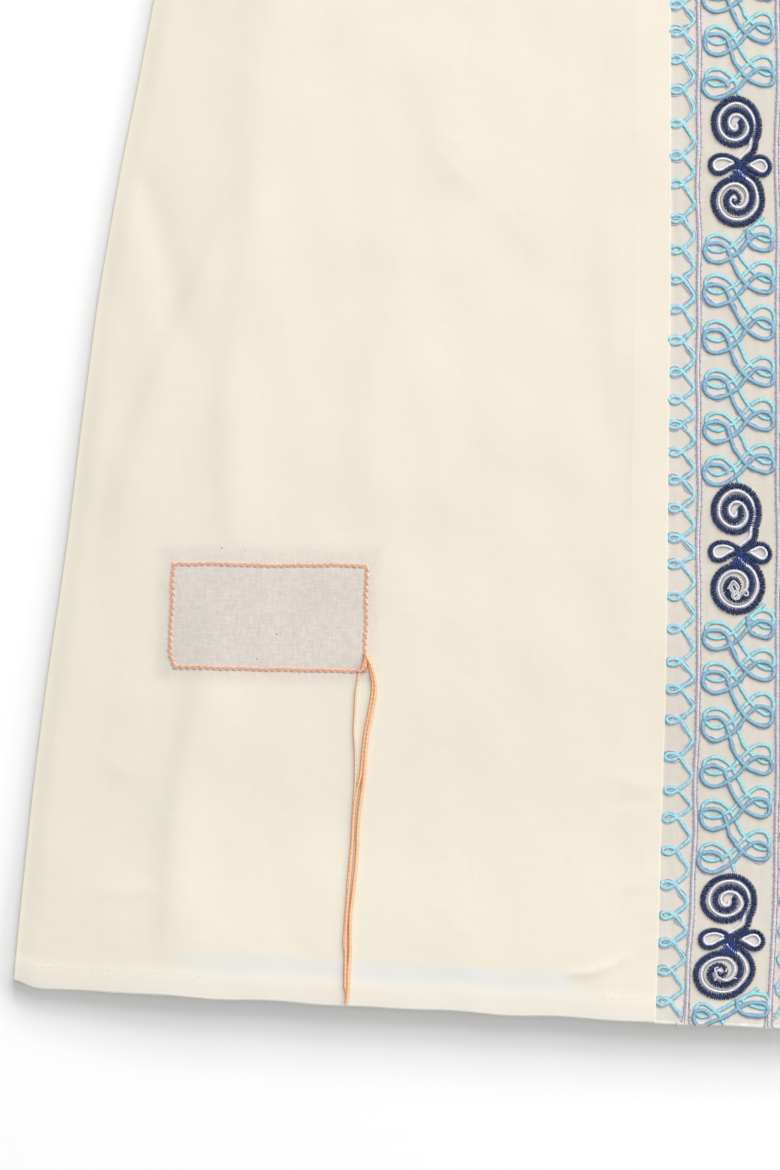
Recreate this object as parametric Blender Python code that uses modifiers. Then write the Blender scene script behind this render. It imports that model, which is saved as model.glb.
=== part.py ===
# A knee-length African kaftan in cream cotton voile, laid out flat with its front up.
# Metres. +Z is up, +Y points to the neck and +X to the viewer's right. The underside lies at
# Z = 0, and the origin is under the middle of the laid-out garment. In the tables below a
# height is counted from the lowest point of the hem up to the neck.

import math
from collections import namedtuple

import bmesh
import bpy
from mathutils import Vector

# Cloth and sewing
CLOTH = 0.0010             # thickness of a cloth wall
HEM_CLOTH = 0.0016         # thickness where the cloth is turned up
TURN_UP = 0.0108           # depth of the turned-up hem
TURN_UP_STEP = 0.0015      # over which the turn-up's thickness fades
SEAM_GAP = 0.0003          # between pieces that are sewn together
LAID_ON_GAP = 0.0004       # between a panel and what is sewn on its face or its back

# The cut
ARMHOLE_X = 0.238          # from the centre line to the armhole seam
UNDERARM = 0.600           # height of the underarm
SHOULDER_END = 0.850       # height of the shoulder's outer end
NECK_HEIGHT = 0.890        # height of the shoulder's neck end
NECK_HALF_WIDTH = 0.112
FRONT_NECK_DEPTH = 0.108
BACK_NECK_DEPTH = 0.020
BAND_HALF_WIDTH = 0.0302
BAND_LEAN = 0.0063         # how far the band swings to the left at the hem
BAND_LEAN_HEIGHT = 0.190   # below which it swings

# The hem's curve
HEM_LOWEST_X = 0.015
HEM_SLOPE = 0.055
HEM_ROUNDING = 0.012
HEM_CORNER_RISE = 0.003
HEM_CORNER_WIDTH = 0.012

# How the front lies on the back
LOFT = 0.0019              # how far the front rises over the back inside its seams
EDGE_ROLL = 0.018          # width over which it rises from a seam
HEM_LIFT = 0.0019          # further rise of the open hem
HEM_LIFT_HEIGHT = 0.055

# Sleeves
CUFF_LOW = (0.601, 0.575)  # X and height of the cuff's lower corner
CUFF_HIGH = (0.645, 0.739)
SLEEVE_EDGE = 0.0026       # thickness of the flattened sleeve at its fold and its seam

# Neck binding and what is sewn on
BINDING_RADIUS = 0.0013
BINDING_FLOOR_GAP = 0.0003
PATCH_CLOTH = 0.0010
PATCH_COLUMNS = 10
PATCH_ROWS = 6
SCROLL_RADIUS = 0.0011
SCROLL_PERIOD = 0.174
SCROLL_FIRST = 0.041       # height of the lowest scroll's middle
SCROLL_COUNT = 5
WAIST_X = 0.0022           # the scroll's waist lies right of the band's middle,
WAIST_DROP = 0.0014        # and below the scroll's own
LEAF_LENGTH = 0.0128
LEAF_HALF_HEIGHT = 0.0045
THREAD_RADIUS = 0.0009
STRAND_RADIUS = 0.0004

# Mesh density
SKIRT_ROWS = 24            # from the turn-up to the underarm
CHEST_ROWS = 13            # from the underarm to the neck and the shoulders
NECK_COLUMNS = 8
SHOULDER_COLUMNS = 12
BAND_COLUMNS = 4
SLEEVE_COLUMNS = 12
SLEEVE_STATIONS = 18

ROWS = 2 + SKIRT_ROWS + CHEST_ROWS
CENTRE_HEIGHT = (NECK_HEIGHT + SEAM_GAP + 2.0 * BINDING_RADIUS) / 2.0
CLOTH_SHARE = CLOTH / HEM_CLOTH

Station = namedtuple("Station", "height half_width")
SIDE_SEAM = (
    Station(0.020, 0.3260),
    Station(0.070, 0.3212),
    Station(0.145, 0.3125),
    Station(0.215, 0.3024),
    Station(0.290, 0.2930),
    Station(0.360, 0.2825),
    Station(0.430, 0.2690),
    Station(0.500, 0.2560),
    Station(0.560, 0.2450),
    Station(UNDERARM, ARMHOLE_X),
)

# The largest folds: a straight ridge from its upper to its lower end, and its half width.
Fold = namedtuple("Fold", "top_x top low_x low top_width low_width rise")
FRONT_FOLDS = (
    Fold(-0.215, 0.600, -0.230, 0.215, 0.024, 0.010, 0.0018),
    Fold(-0.246, 0.340, -0.282, 0.205, 0.012, 0.014, 0.0013),
    Fold(-0.255, 0.165, -0.262, 0.040, 0.012, 0.010, 0.0013),
    Fold(-0.150, 0.560, -0.156, 0.270, 0.014, 0.020, 0.0011),
    Fold(-0.056, 0.520, -0.050, 0.200, 0.012, 0.012, 0.0008),
    Fold(-0.225, 0.610, -0.120, 0.730, 0.016, 0.018, 0.0016),
    Fold(0.222, 0.595, 0.236, 0.180, 0.022, 0.012, 0.0017),
    Fold(0.250, 0.330, 0.284, 0.230, 0.013, 0.013, 0.0012),
    Fold(0.245, 0.190, 0.262, 0.060, 0.012, 0.011, 0.0014),
    Fold(0.132, 0.540, 0.150, 0.300, 0.016, 0.018, 0.0011),
    Fold(0.064, 0.470, 0.058, 0.170, 0.012, 0.013, 0.0008),
    Fold(0.222, 0.615, 0.130, 0.715, 0.016, 0.020, 0.0016),
)

# Creases across a sleeve: along and across run from 0 to 1, from the armhole to the cuff and
# from the seam up to the fold.
Crease = namedtuple("Crease", "side along across end_along end_across width rise")
SLEEVE_CREASES = (
    Crease(-1, 0.02, 0.10, 0.30, 0.55, 0.012, 0.0014),
    Crease(-1, 0.42, 0.12, 0.52, 0.80, 0.011, 0.0012),
    Crease(-1, 0.66, 0.20, 0.92, 0.35, 0.012, 0.0010),
    Crease(1, 0.03, 0.12, 0.26, 0.62, 0.013, 0.0013),
    Crease(1, 0.45, 0.85, 0.56, 0.22, 0.011, 0.0013),
    Crease(1, 0.70, 0.62, 0.94, 0.50, 0.012, 0.0010),
)

# The corners of the stitches that hold the patch to the left front from inside
Corner = namedtuple("Corner", "x height")
PATCH_TOP_LEFT = Corner(-0.2534, 0.2088)
PATCH_TOP_RIGHT = Corner(-0.1665, 0.2079)
PATCH_LOW_LEFT = Corner(-0.2538, 0.1624)
PATCH_LOW_RIGHT = Corner(-0.1678, 0.1606)
PATCH_MARGIN = 0.0028      # cloth outside the row of stitches

# Free thread ends: the route's points on the left front, from the patch's corner down to
# the hem
Point = namedtuple("Point", "x height")
THREAD_ROUTE = (
    Point(-0.1672, 0.1687),
    Point(-0.1650, 0.1650),
    Point(-0.1632, 0.1610),
    Point(-0.1633, 0.1557),
    Point(-0.1642, 0.1494),
    Point(-0.1669, 0.1368),
    Point(-0.1683, 0.1242),
    Point(-0.1688, 0.1147),
    Point(-0.1708, 0.0990),
    Point(-0.1720, 0.0845),
    Point(-0.1737, 0.0630),
    Point(-0.1748, 0.0463),
    Point(-0.1751, 0.0302),
    Point(-0.1755, 0.0162),
    Point(-0.1755, 0.0120),
)
STRAND_ROUTE = (
    Point(-0.1706, 0.1555),
    Point(-0.1719, 0.1490),
    Point(-0.1724, 0.1390),
    Point(-0.1719, 0.1242),
    Point(-0.1723, 0.1116),
    Point(-0.1734, 0.0990),
    Point(-0.1746, 0.0850),
)
THREAD_STEPS = 3           # points drawn between two points of a route

COLOURS = {
    "back_panel": (0.85, 0.80, 0.68),
    "front_left": (0.88, 0.83, 0.70),
    "front_right": (0.88, 0.83, 0.70),
    "sleeve_left": (0.87, 0.82, 0.70),
    "sleeve_right": (0.87, 0.82, 0.70),
    "centre_band": (0.72, 0.66, 0.59),
    "neck_binding": (0.80, 0.75, 0.64),
    "patch": (0.70, 0.63, 0.56),
    "thread_tail": (0.85, 0.34, 0.14),
    "thread_strand": (0.85, 0.34, 0.14),
    "embroidery": (0.035, 0.040, 0.130),
}


def ease(value):
    value = min(max(value, 0.0), 1.0)
    return value * value * (3.0 - 2.0 * value)


def mix(low, high, share):
    return low + (high - low) * share


# Half the garment's width at a height: a smooth curve through the side seam's stations.
def half_width(height):
    height = min(max(height, SIDE_SEAM[0].height), SIDE_SEAM[-1].height)
    index = 0
    while index < len(SIDE_SEAM) - 2 and height > SIDE_SEAM[index + 1].height:
        index += 1
    below, above = SIDE_SEAM[index], SIDE_SEAM[index + 1]
    span = above.height - below.height
    share = (height - below.height) / span
    slopes = []
    for middle in (index, index + 1):
        first = SIDE_SEAM[max(middle - 1, 0)]
        last = SIDE_SEAM[min(middle + 1, len(SIDE_SEAM) - 1)]
        slopes.append((last.half_width - first.half_width) / (last.height - first.height))
    blend = ease(share)
    low_line = below.half_width + slopes[0] * share * span
    high_line = above.half_width - slopes[1] * (1.0 - share) * span
    return mix(low_line, high_line, blend)


def hem_height(x):
    slope = HEM_SLOPE * (math.hypot(x - HEM_LOWEST_X, HEM_ROUNDING) - HEM_ROUNDING)
    from_corner = SIDE_SEAM[0].half_width - abs(x)
    return slope + HEM_CORNER_RISE * ease(1.0 - from_corner / HEM_CORNER_WIDTH)


def band_centre(height):
    share = max(0.0, 1.0 - height / BAND_LEAN_HEIGHT)
    return -BAND_LEAN * share * share


def shoulder_height(x):
    share = (ARMHOLE_X - abs(x)) / (ARMHOLE_X - NECK_HALF_WIDTH)
    return mix(SHOULDER_END, NECK_HEIGHT, share)


def front_top(x):
    if abs(x) >= NECK_HALF_WIDTH:
        return shoulder_height(x)
    return NECK_HEIGHT - FRONT_NECK_DEPTH * math.sqrt(1.0 - (x / NECK_HALF_WIDTH) ** 2)


def back_top(x):
    if abs(x) >= NECK_HALF_WIDTH:
        return shoulder_height(x)
    return NECK_HEIGHT - BACK_NECK_DEPTH * 0.5 * (1.0 + math.cos(math.pi * x / NECK_HALF_WIDTH))


# Thickness of a wall at a height above its own hem
def hem_wall(above_hem):
    return mix(HEM_CLOTH, CLOTH, ease((above_hem - TURN_UP) / TURN_UP_STEP))


def seam_distance(x, height):
    side = half_width(height) - abs(x)
    if height > UNDERARM:
        side = math.hypot(side, height - UNDERARM)
    slope = (NECK_HEIGHT - SHOULDER_END) / (ARMHOLE_X - NECK_HALF_WIDTH)
    shoulder = (shoulder_height(x) - height) / math.hypot(1.0, slope)
    return max(0.0, min(side, shoulder))


# Height of a ridge that runs from one point to another and dies out at both ends
def ridge(x, y, start, end, start_width, end_width, rise):
    run = (end[0] - start[0], end[1] - start[1])
    length = math.hypot(run[0], run[1])
    along = ((x - start[0]) * run[0] + (y - start[1]) * run[1]) / (length * length)
    across = ((x - start[0]) * run[1] - (y - start[1]) * run[0]) / length
    width = mix(start_width, end_width, min(max(along, 0.0), 1.0))
    ends = ease(along * 4.0 + 0.5) * ease((1.0 - along) * 4.0 + 0.5)
    return rise * ends * math.exp(-((across / width) ** 2))


# Z of the lower face of the front's wall
def front_floor(x, height):
    above_hem = height - hem_height(x)
    roll = ease(seam_distance(x, height) / EDGE_ROLL)
    lift = HEM_LIFT * ease(1.0 - above_hem / HEM_LIFT_HEIGHT)
    folds = 0.0
    for fold in FRONT_FOLDS:
        folds += ridge(x, height, (fold.top_x, fold.top), (fold.low_x, fold.low),
                       fold.top_width, fold.low_width, fold.rise)
    return hem_wall(above_hem) + SEAM_GAP + roll * (LOFT + lift + folds)


# Z of the upper face of the front's wall
def front_roof(x, height):
    return front_floor(x, height) + hem_wall(height - hem_height(x))


def world(x, height, z):
    return Vector((x, height - CENTRE_HEIGHT, z))


# Height of a row: the turn-up has rows of its own, and one row lies at the underarm.
def row_height(row, low, high):
    fixed = (0.0, TURN_UP, TURN_UP + TURN_UP_STEP)
    if row < len(fixed):
        return low + fixed[row]
    step = row - len(fixed) + 1
    if step <= SKIRT_ROWS:
        return mix(low + fixed[-1], UNDERARM, step / SKIRT_ROWS)
    return mix(UNDERARM, high, (step - SKIRT_ROWS) / CHEST_ROWS)


def new_material(name, colour):
    material = bpy.data.materials.new(name)
    material.use_nodes = True
    shader = material.node_tree.nodes["Principled BSDF"]
    shader.inputs["Base Color"].default_value = (colour[0], colour[1], colour[2], 1.0)
    shader.inputs["Roughness"].default_value = 0.9
    shader.inputs["Metallic"].default_value = 0.0
    return material


def add_object(name, data, colour):
    thing = bpy.data.objects.new(name, data)
    data.materials.append(new_material(name + "_cloth", colour))
    kaftan.objects.link(thing)
    return thing


# An open surface of rows and columns, whose points place(column, row) gives
def surface(name, columns, rows, place, colour, closed=False):
    mesh = bpy.data.meshes.new(name)
    bm = bmesh.new()
    grid = []
    for row in range(rows + 1):
        grid.append([bm.verts.new(place(column, row)) for column in range(columns + 1)])
    for row in range(rows):
        for column in range(columns):
            corners = (grid[row][column], grid[row][column + 1],
                       grid[row + 1][column + 1], grid[row + 1][column])
            bm.faces.new(corners)
        if closed:
            bm.faces.new((grid[row][columns], grid[row][0], grid[row + 1][0],
                          grid[row + 1][columns]))
    bm.to_mesh(mesh)
    bm.free()
    return add_object(name, mesh, colour)


# Gives a surface its wall. The points that turned(point) picks out get the turn-up's
# thickness, and the rest that of one cloth.
def thicken(panel, turned, offset=1.0):
    thick = panel.vertex_groups.new(name="turn_up")
    for vertex in panel.data.vertices:
        thick.add([vertex.index], 1.0 if turned(vertex) else CLOTH_SHARE, "REPLACE")
    wall = panel.modifiers.new("Wall", "SOLIDIFY")
    wall.thickness = HEM_CLOTH
    wall.offset = offset
    wall.vertex_group = thick.name
    wall.use_even_offset = False


# The shares of the way from the armhole to the band at which a front's columns stand: even
# along the shoulder, and even in angle round the neck.
def front_columns():
    edge = BAND_HALF_WIDTH + SEAM_GAP
    places = []
    for index in range(SHOULDER_COLUMNS):
        places.append(mix(ARMHOLE_X, NECK_HALF_WIDTH, index / SHOULDER_COLUMNS))
    last_angle = math.asin(edge / NECK_HALF_WIDTH)
    for index in range(NECK_COLUMNS + 1):
        angle = mix(math.pi / 2.0, last_angle, index / NECK_COLUMNS)
        places.append(NECK_HALF_WIDTH * math.sin(angle))
    return places


def front_point(side, top_x, row):
    edge = BAND_HALF_WIDTH + SEAM_GAP
    share = (ARMHOLE_X - top_x) / (ARMHOLE_X - edge)
    top = front_top(top_x)
    height = row_height(row, 0.0, top)
    for _ in range(4):
        inner = side * edge + band_centre(height)
        x = mix(side * half_width(height), inner, share)
        height = row_height(row, hem_height(x), top)
    return x, height


def make_front(name, side):
    places = front_columns()
    if side > 0:
        places.reverse()

    def place(column, row):
        x, height = front_point(side, places[column], row)
        return world(x, height, front_floor(x, height))

    panel = surface(name, len(places) - 1, ROWS, place, COLOURS[name])
    row_length = len(places)
    thicken(panel, lambda vertex: vertex.index < 2 * row_length)


def make_centre_band():
    def place(column, row):
        offset = mix(-BAND_HALF_WIDTH, BAND_HALF_WIDTH, column / BAND_COLUMNS)
        top = front_top(offset)
        height = row_height(row, hem_height(offset), top)
        x = offset + band_centre(height)
        height = row_height(row, hem_height(x), top)
        return world(x, height, front_floor(x, height))

    panel = surface("centre_band", BAND_COLUMNS, ROWS, place, COLOURS["centre_band"])
    thicken(panel, lambda vertex: vertex.index < 2 * (BAND_COLUMNS + 1))


def make_back():
    places = [-x for x in front_columns()]
    inner = len(places)
    places += [0.0] + [-x for x in reversed(places)]

    def place(column, row):
        top_x = places[column]
        height = row_height(row, 0.0, back_top(top_x))
        for _ in range(4):
            x = top_x / ARMHOLE_X * half_width(height)
            height = row_height(row, hem_height(x), back_top(top_x))
        return world(x, height, 0.0)

    panel = surface("back_panel", 2 * inner, ROWS, place, COLOURS["back_panel"])
    thicken(panel, lambda vertex: vertex.index < 2 * (2 * inner + 1))


# X and height of a point of the sleeve: along from the armhole to the cuff, across from the
# underarm seam to the fold at the shoulder
def sleeve_place(along, across):
    start_x = ARMHOLE_X + SEAM_GAP
    low = (mix(start_x, CUFF_LOW[0], along), mix(UNDERARM, CUFF_LOW[1], along))
    high = (mix(start_x, CUFF_HIGH[0], along), mix(SHOULDER_END, CUFF_HIGH[1], along))
    return mix(low[0], high[0], across), mix(low[1], high[1], across)


def sleeve_roof(side, along, across):
    x, height = sleeve_place(along, across)
    low = sleeve_place(along, 0.0)
    high = sleeve_place(along, 1.0)
    width = math.dist(low, high)
    roll = ease(min(across, 1.0 - across) * width / EDGE_ROLL)
    rise = CLOTH + SEAM_GAP + LOFT + CLOTH - SLEEVE_EDGE
    for crease in SLEEVE_CREASES:
        if crease.side == side:
            start = sleeve_place(crease.along, crease.across)
            end = sleeve_place(crease.end_along, crease.end_across)
            rise += ridge(x, height, start, end, crease.width, crease.width, crease.rise)
    return SLEEVE_EDGE + roll * rise


def make_sleeve(name, side):
    # One ring runs up the seam's edge, over the top, down the fold's edge and back below.
    ring = [(0.0, "floor")] + [(index / SLEEVE_COLUMNS, "roof")
                               for index in range(SLEEVE_COLUMNS + 1)]
    ring += [((SLEEVE_COLUMNS - index) / SLEEVE_COLUMNS, "floor")
             for index in range(SLEEVE_COLUMNS)]
    if side > 0:
        ring.reverse()

    def place(column, row):
        across, face = ring[column]
        along = row / SLEEVE_STATIONS
        x, height = sleeve_place(along, across)
        z = sleeve_roof(side, along, across) if face == "roof" else 0.0
        return world(side * x, height, z)

    tube = surface(name, len(ring) - 1, SLEEVE_STATIONS, place, COLOURS[name], closed=True)
    thicken(tube, lambda vertex: False, offset=-1.0)


# A round cord as a curve with filled caps
def cord(name, points, radius, resolution, colour, closed=False):
    curve = bpy.data.curves.new(name, "CURVE")
    curve.dimensions = "3D"
    curve.bevel_depth = radius
    curve.bevel_resolution = resolution
    curve.use_fill_caps = not closed
    spline = curve.splines.new("POLY")
    spline.points.add(len(points) - 1)
    for target, point in zip(spline.points, points):
        target.co = (point.x, point.y, point.z, 1.0)
    spline.use_cyclic_u = closed
    return add_object(name, curve, colour)


def make_neck_binding():
    clear = SEAM_GAP + BINDING_RADIUS
    low_z = BINDING_FLOOR_GAP + BINDING_RADIUS
    corner = Vector((NECK_HALF_WIDTH - clear, NECK_HEIGHT + clear))
    arc = []
    for index in range(25):
        angle = mix(-1.0, 1.0, index / 24) * math.radians(84.0)
        x = corner.x * math.sin(angle)
        height = NECK_HEIGHT - (FRONT_NECK_DEPTH - clear) * math.cos(angle)
        z = front_floor(x, height - clear) + CLOTH / 2.0
        arc.append(world(x, height, z))
    over_back = CLOTH + SEAM_GAP + BINDING_RADIUS
    turn = [world(corner.x - 0.0002, NECK_HEIGHT - 0.003, over_back + 0.0003),
            world(corner.x - 0.0018, corner.y + 0.0001, over_back - 0.0004)]
    rear = []
    for index in range(1, 14):
        x = mix(corner.x, -corner.x, index / 14)
        rear.append(world(x, back_top(x) + clear + 0.0002, low_z))
    back_turn = [Vector((-point.x, point.y, point.z)) for point in reversed(turn)]
    cord("neck_binding", arc + turn + rear + back_turn, BINDING_RADIUS, 1,
         COLOURS["neck_binding"], closed=True)


def patch_place(across, up):
    low_x = mix(PATCH_LOW_LEFT.x, PATCH_LOW_RIGHT.x, across)
    low = mix(PATCH_LOW_LEFT.height, PATCH_LOW_RIGHT.height, across)
    high_x = mix(PATCH_TOP_LEFT.x, PATCH_TOP_RIGHT.x, across)
    high = mix(PATCH_TOP_LEFT.height, PATCH_TOP_RIGHT.height, across)
    return mix(low_x, high_x, up), mix(low, high, up)


def make_patch():
    wide = PATCH_MARGIN / (PATCH_TOP_RIGHT.x - PATCH_TOP_LEFT.x)
    tall = PATCH_MARGIN / (PATCH_TOP_LEFT.height - PATCH_LOW_LEFT.height)

    def place(column, row):
        across = mix(-wide, 1.0 + wide, column / PATCH_COLUMNS)
        up = mix(-tall, 1.0 + tall, row / PATCH_ROWS)
        x, height = patch_place(across, up)
        return world(x, height, front_floor(x, height) - LAID_ON_GAP)

    cloth = surface("patch", PATCH_COLUMNS, PATCH_ROWS, place, COLOURS["patch"])
    wall = cloth.modifiers.new("Wall", "SOLIDIFY")
    wall.thickness = PATCH_CLOTH
    wall.offset = -1.0


# Points of a smooth curve through a route's own points
def smooth_route(points):
    path = []
    for index in range(len(points) - 1):
        before = points[max(index - 1, 0)]
        start = points[index]
        end = points[index + 1]
        after = points[min(index + 2, len(points) - 1)]
        for step in range(THREAD_STEPS):
            share = step / THREAD_STEPS
            into = (end - before) * 0.5
            out = (after - start) * 0.5
            square = share * share
            cube = square * share
            path.append(start * (2.0 * cube - 3.0 * square + 1.0)
                        + into * (cube - 2.0 * square + share)
                        + end * (3.0 * square - 2.0 * cube) + out * (cube - square))
    path.append(points[-1])
    return path


def make_thread(name, route, radius):
    points = []
    for point in route:
        z = front_roof(point.x, point.height) + LAID_ON_GAP + radius
        points.append(world(point.x, point.height, z))
    cord(name, smooth_route(points), radius, 2, COLOURS[name])


# The scroll's middle line in its own X and height: up out of the upper spiral, down to the
# waist and out into the lower one, which mirrors it.
def scroll_line():
    outer = 0.0106         # radius of a spiral's outer turn
    inner = 0.0017
    turns = 1.75
    middle = 0.0182        # from the waist to a spiral's middle
    shift = -0.0008
    steps = 26
    upper = []
    for index in range(steps + 1):
        share = index / steps
        angle = math.radians(-25.0) + turns * 2.0 * math.pi * share
        radius = mix(outer, inner, share ** 1.25)
        upper.append((shift + radius * math.cos(angle), middle + radius * math.sin(angle)))
    upper.reverse()
    lower = [(x * 1.06, -height) for x, height in reversed(upper)]
    reach = 0.0069         # where the tails leave the waist, above and below it
    half = 0.0020
    tail_x = 2.6 * WAIST_X
    return upper + [(tail_x, reach - WAIST_DROP), (WAIST_X, half - WAIST_DROP),
                    (WAIST_X, -half - WAIST_DROP), (tail_x, -reach - WAIST_DROP)] + lower


# A leaf-shaped loop beside the waist: its two ends stop root of a turn from the waist.
def leaf_line(side, root):
    steps = 13
    line = []
    for index in range(steps + 1):
        turn = math.pi * mix(root, 1.0 - root, index / steps)
        out = LEAF_LENGTH * math.sin(turn) ** 2
        up = LEAF_HALF_HEIGHT / 0.77 * math.sin(2.0 * turn) * math.sin(turn)
        start = WAIST_X if side > 0 else 0.0
        line.append((start + side * out, up - WAIST_DROP))
    return line


# A cord on the band, whose line is counted from the middle of its scroll
def band_cord(name, number, line):
    middle = SCROLL_FIRST + SCROLL_PERIOD * number
    points = []
    for along_x, up in line:
        height = middle + up
        x = band_centre(height) + along_x
        z = front_roof(x, height) + LAID_ON_GAP + SCROLL_RADIUS
        points.append(world(x, height, z))
    cord(name, points, SCROLL_RADIUS, 1, COLOURS["embroidery"])


def make_scrolls():
    for number in range(SCROLL_COUNT):
        band_cord("scroll_%d" % (number + 1), number, scroll_line())
        band_cord("leaf_%d_left" % (number + 1), number, leaf_line(-1, 0.11))
        band_cord("leaf_%d_right" % (number + 1), number, leaf_line(1, 0.20))


for leftover in list(bpy.data.objects):
    bpy.data.objects.remove(leftover, do_unlink=True)

kaftan = bpy.data.collections.new("kaftan")
bpy.context.scene.collection.children.link(kaftan)

make_back()
make_front("front_left", -1)
make_front("front_right", 1)
make_centre_band()
make_sleeve("sleeve_left", -1)
make_sleeve("sleeve_right", 1)
make_neck_binding()
make_patch()
make_thread("thread_tail", THREAD_ROUTE, THREAD_RADIUS)
make_thread("thread_strand", STRAND_ROUTE, STRAND_RADIUS)
make_scrolls()
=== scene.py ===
import math

import bpy
import numpy as np
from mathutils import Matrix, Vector

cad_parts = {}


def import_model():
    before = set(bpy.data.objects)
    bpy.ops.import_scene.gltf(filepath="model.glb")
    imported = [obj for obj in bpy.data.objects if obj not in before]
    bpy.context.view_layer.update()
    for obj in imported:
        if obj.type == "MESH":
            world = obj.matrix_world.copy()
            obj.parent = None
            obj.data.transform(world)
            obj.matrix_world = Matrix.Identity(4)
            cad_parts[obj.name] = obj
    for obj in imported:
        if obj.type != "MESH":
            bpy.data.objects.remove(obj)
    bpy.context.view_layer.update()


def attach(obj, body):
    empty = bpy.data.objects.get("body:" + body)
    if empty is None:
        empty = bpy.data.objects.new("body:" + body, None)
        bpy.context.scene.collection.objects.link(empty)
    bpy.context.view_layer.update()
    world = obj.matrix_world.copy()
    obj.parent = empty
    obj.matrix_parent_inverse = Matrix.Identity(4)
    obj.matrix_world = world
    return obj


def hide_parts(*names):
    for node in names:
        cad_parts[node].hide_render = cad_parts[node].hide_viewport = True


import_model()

# The garment's cut, in metres. A height runs from the lowest point of the hem to the neck.
cut = {
    "armholeX": 0.238, "underarm": 0.600, "shoulderEnd": 0.850, "neckHeight": 0.890,
    "neckHalfWidth": 0.112, "frontNeckDepth": 0.108, "backNeckDepth": 0.020,
    "bandHalfWidth": 0.0302, "bandLean": 0.0063, "bandLeanHeight": 0.190,
    "hemLowestX": 0.015, "hemSlope": 0.055, "hemRounding": 0.012,
    "hemCornerRise": 0.003, "hemCornerWidth": 0.012, "hemWave": 0.00025,
    "turnUp": 0.0108,          # depth of the turned-up hem
    "facing": 0.0180,          # cloth turned in along the band
    "centreHeight": 0.44645,   # height that lies at Y = 0
}

# Half the garment's width up the side seam: height, half width
sideSeam = [
    (0.020, 0.3260), (0.070, 0.3212), (0.145, 0.3125), (0.215, 0.3024), (0.290, 0.2930),
    (0.360, 0.2825), (0.430, 0.2690), (0.500, 0.2560), (0.560, 0.2450), (0.600, 0.2380),
]

# How the front lies over the back
lie = {
    "seamZ": 0.0023,           # top of the front's cloth at its seams
    "turnUpZ": 0.0003,         # higher by this over the turned-up hem
    "loft": 0.0021,
    "edgeRoll": 0.009, "liftRoll": 0.050,
    "hemLift": 0.0026, "seamShare": 0.60,   # of the hem's lift at the side seams
    "hemLiftHeight": 0.095,
    "sideSlope": 0.040,        # fall from the long side fold to the side seam
    "sideSoftness": 0.003,
    "sideDrop": 0.0005,        # a steeper fall just beyond the long side fold
    "sideDropWidth": 0.010,
    "sideSeamLift": 0.0010,
    "sideFade": (0.62, 0.10), "dropFade": (0.60, 0.06), "seamFade": (0.58, 0.06),
    "turnSoftness": 0.0070,
    "facingRise": 0.00012,     # over the cloth turned in along the band, fading low down
    "facingSoftness": 0.0016, "facingFrom": 0.14, "facingFade": 0.16,
    "bandDrop": 0.00007, "bandDropWidth": 0.0004,     # the edge at the band rounds off
    # soft unevenness: rise, stretch along the garment, size, seed
    "uneven": ((0.00012, 0.45, 0.034, 3), (0.00002, 1.0, 0.011, 5)),
    "gauge": 0.00035,          # thickness of the cloth
}

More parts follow.
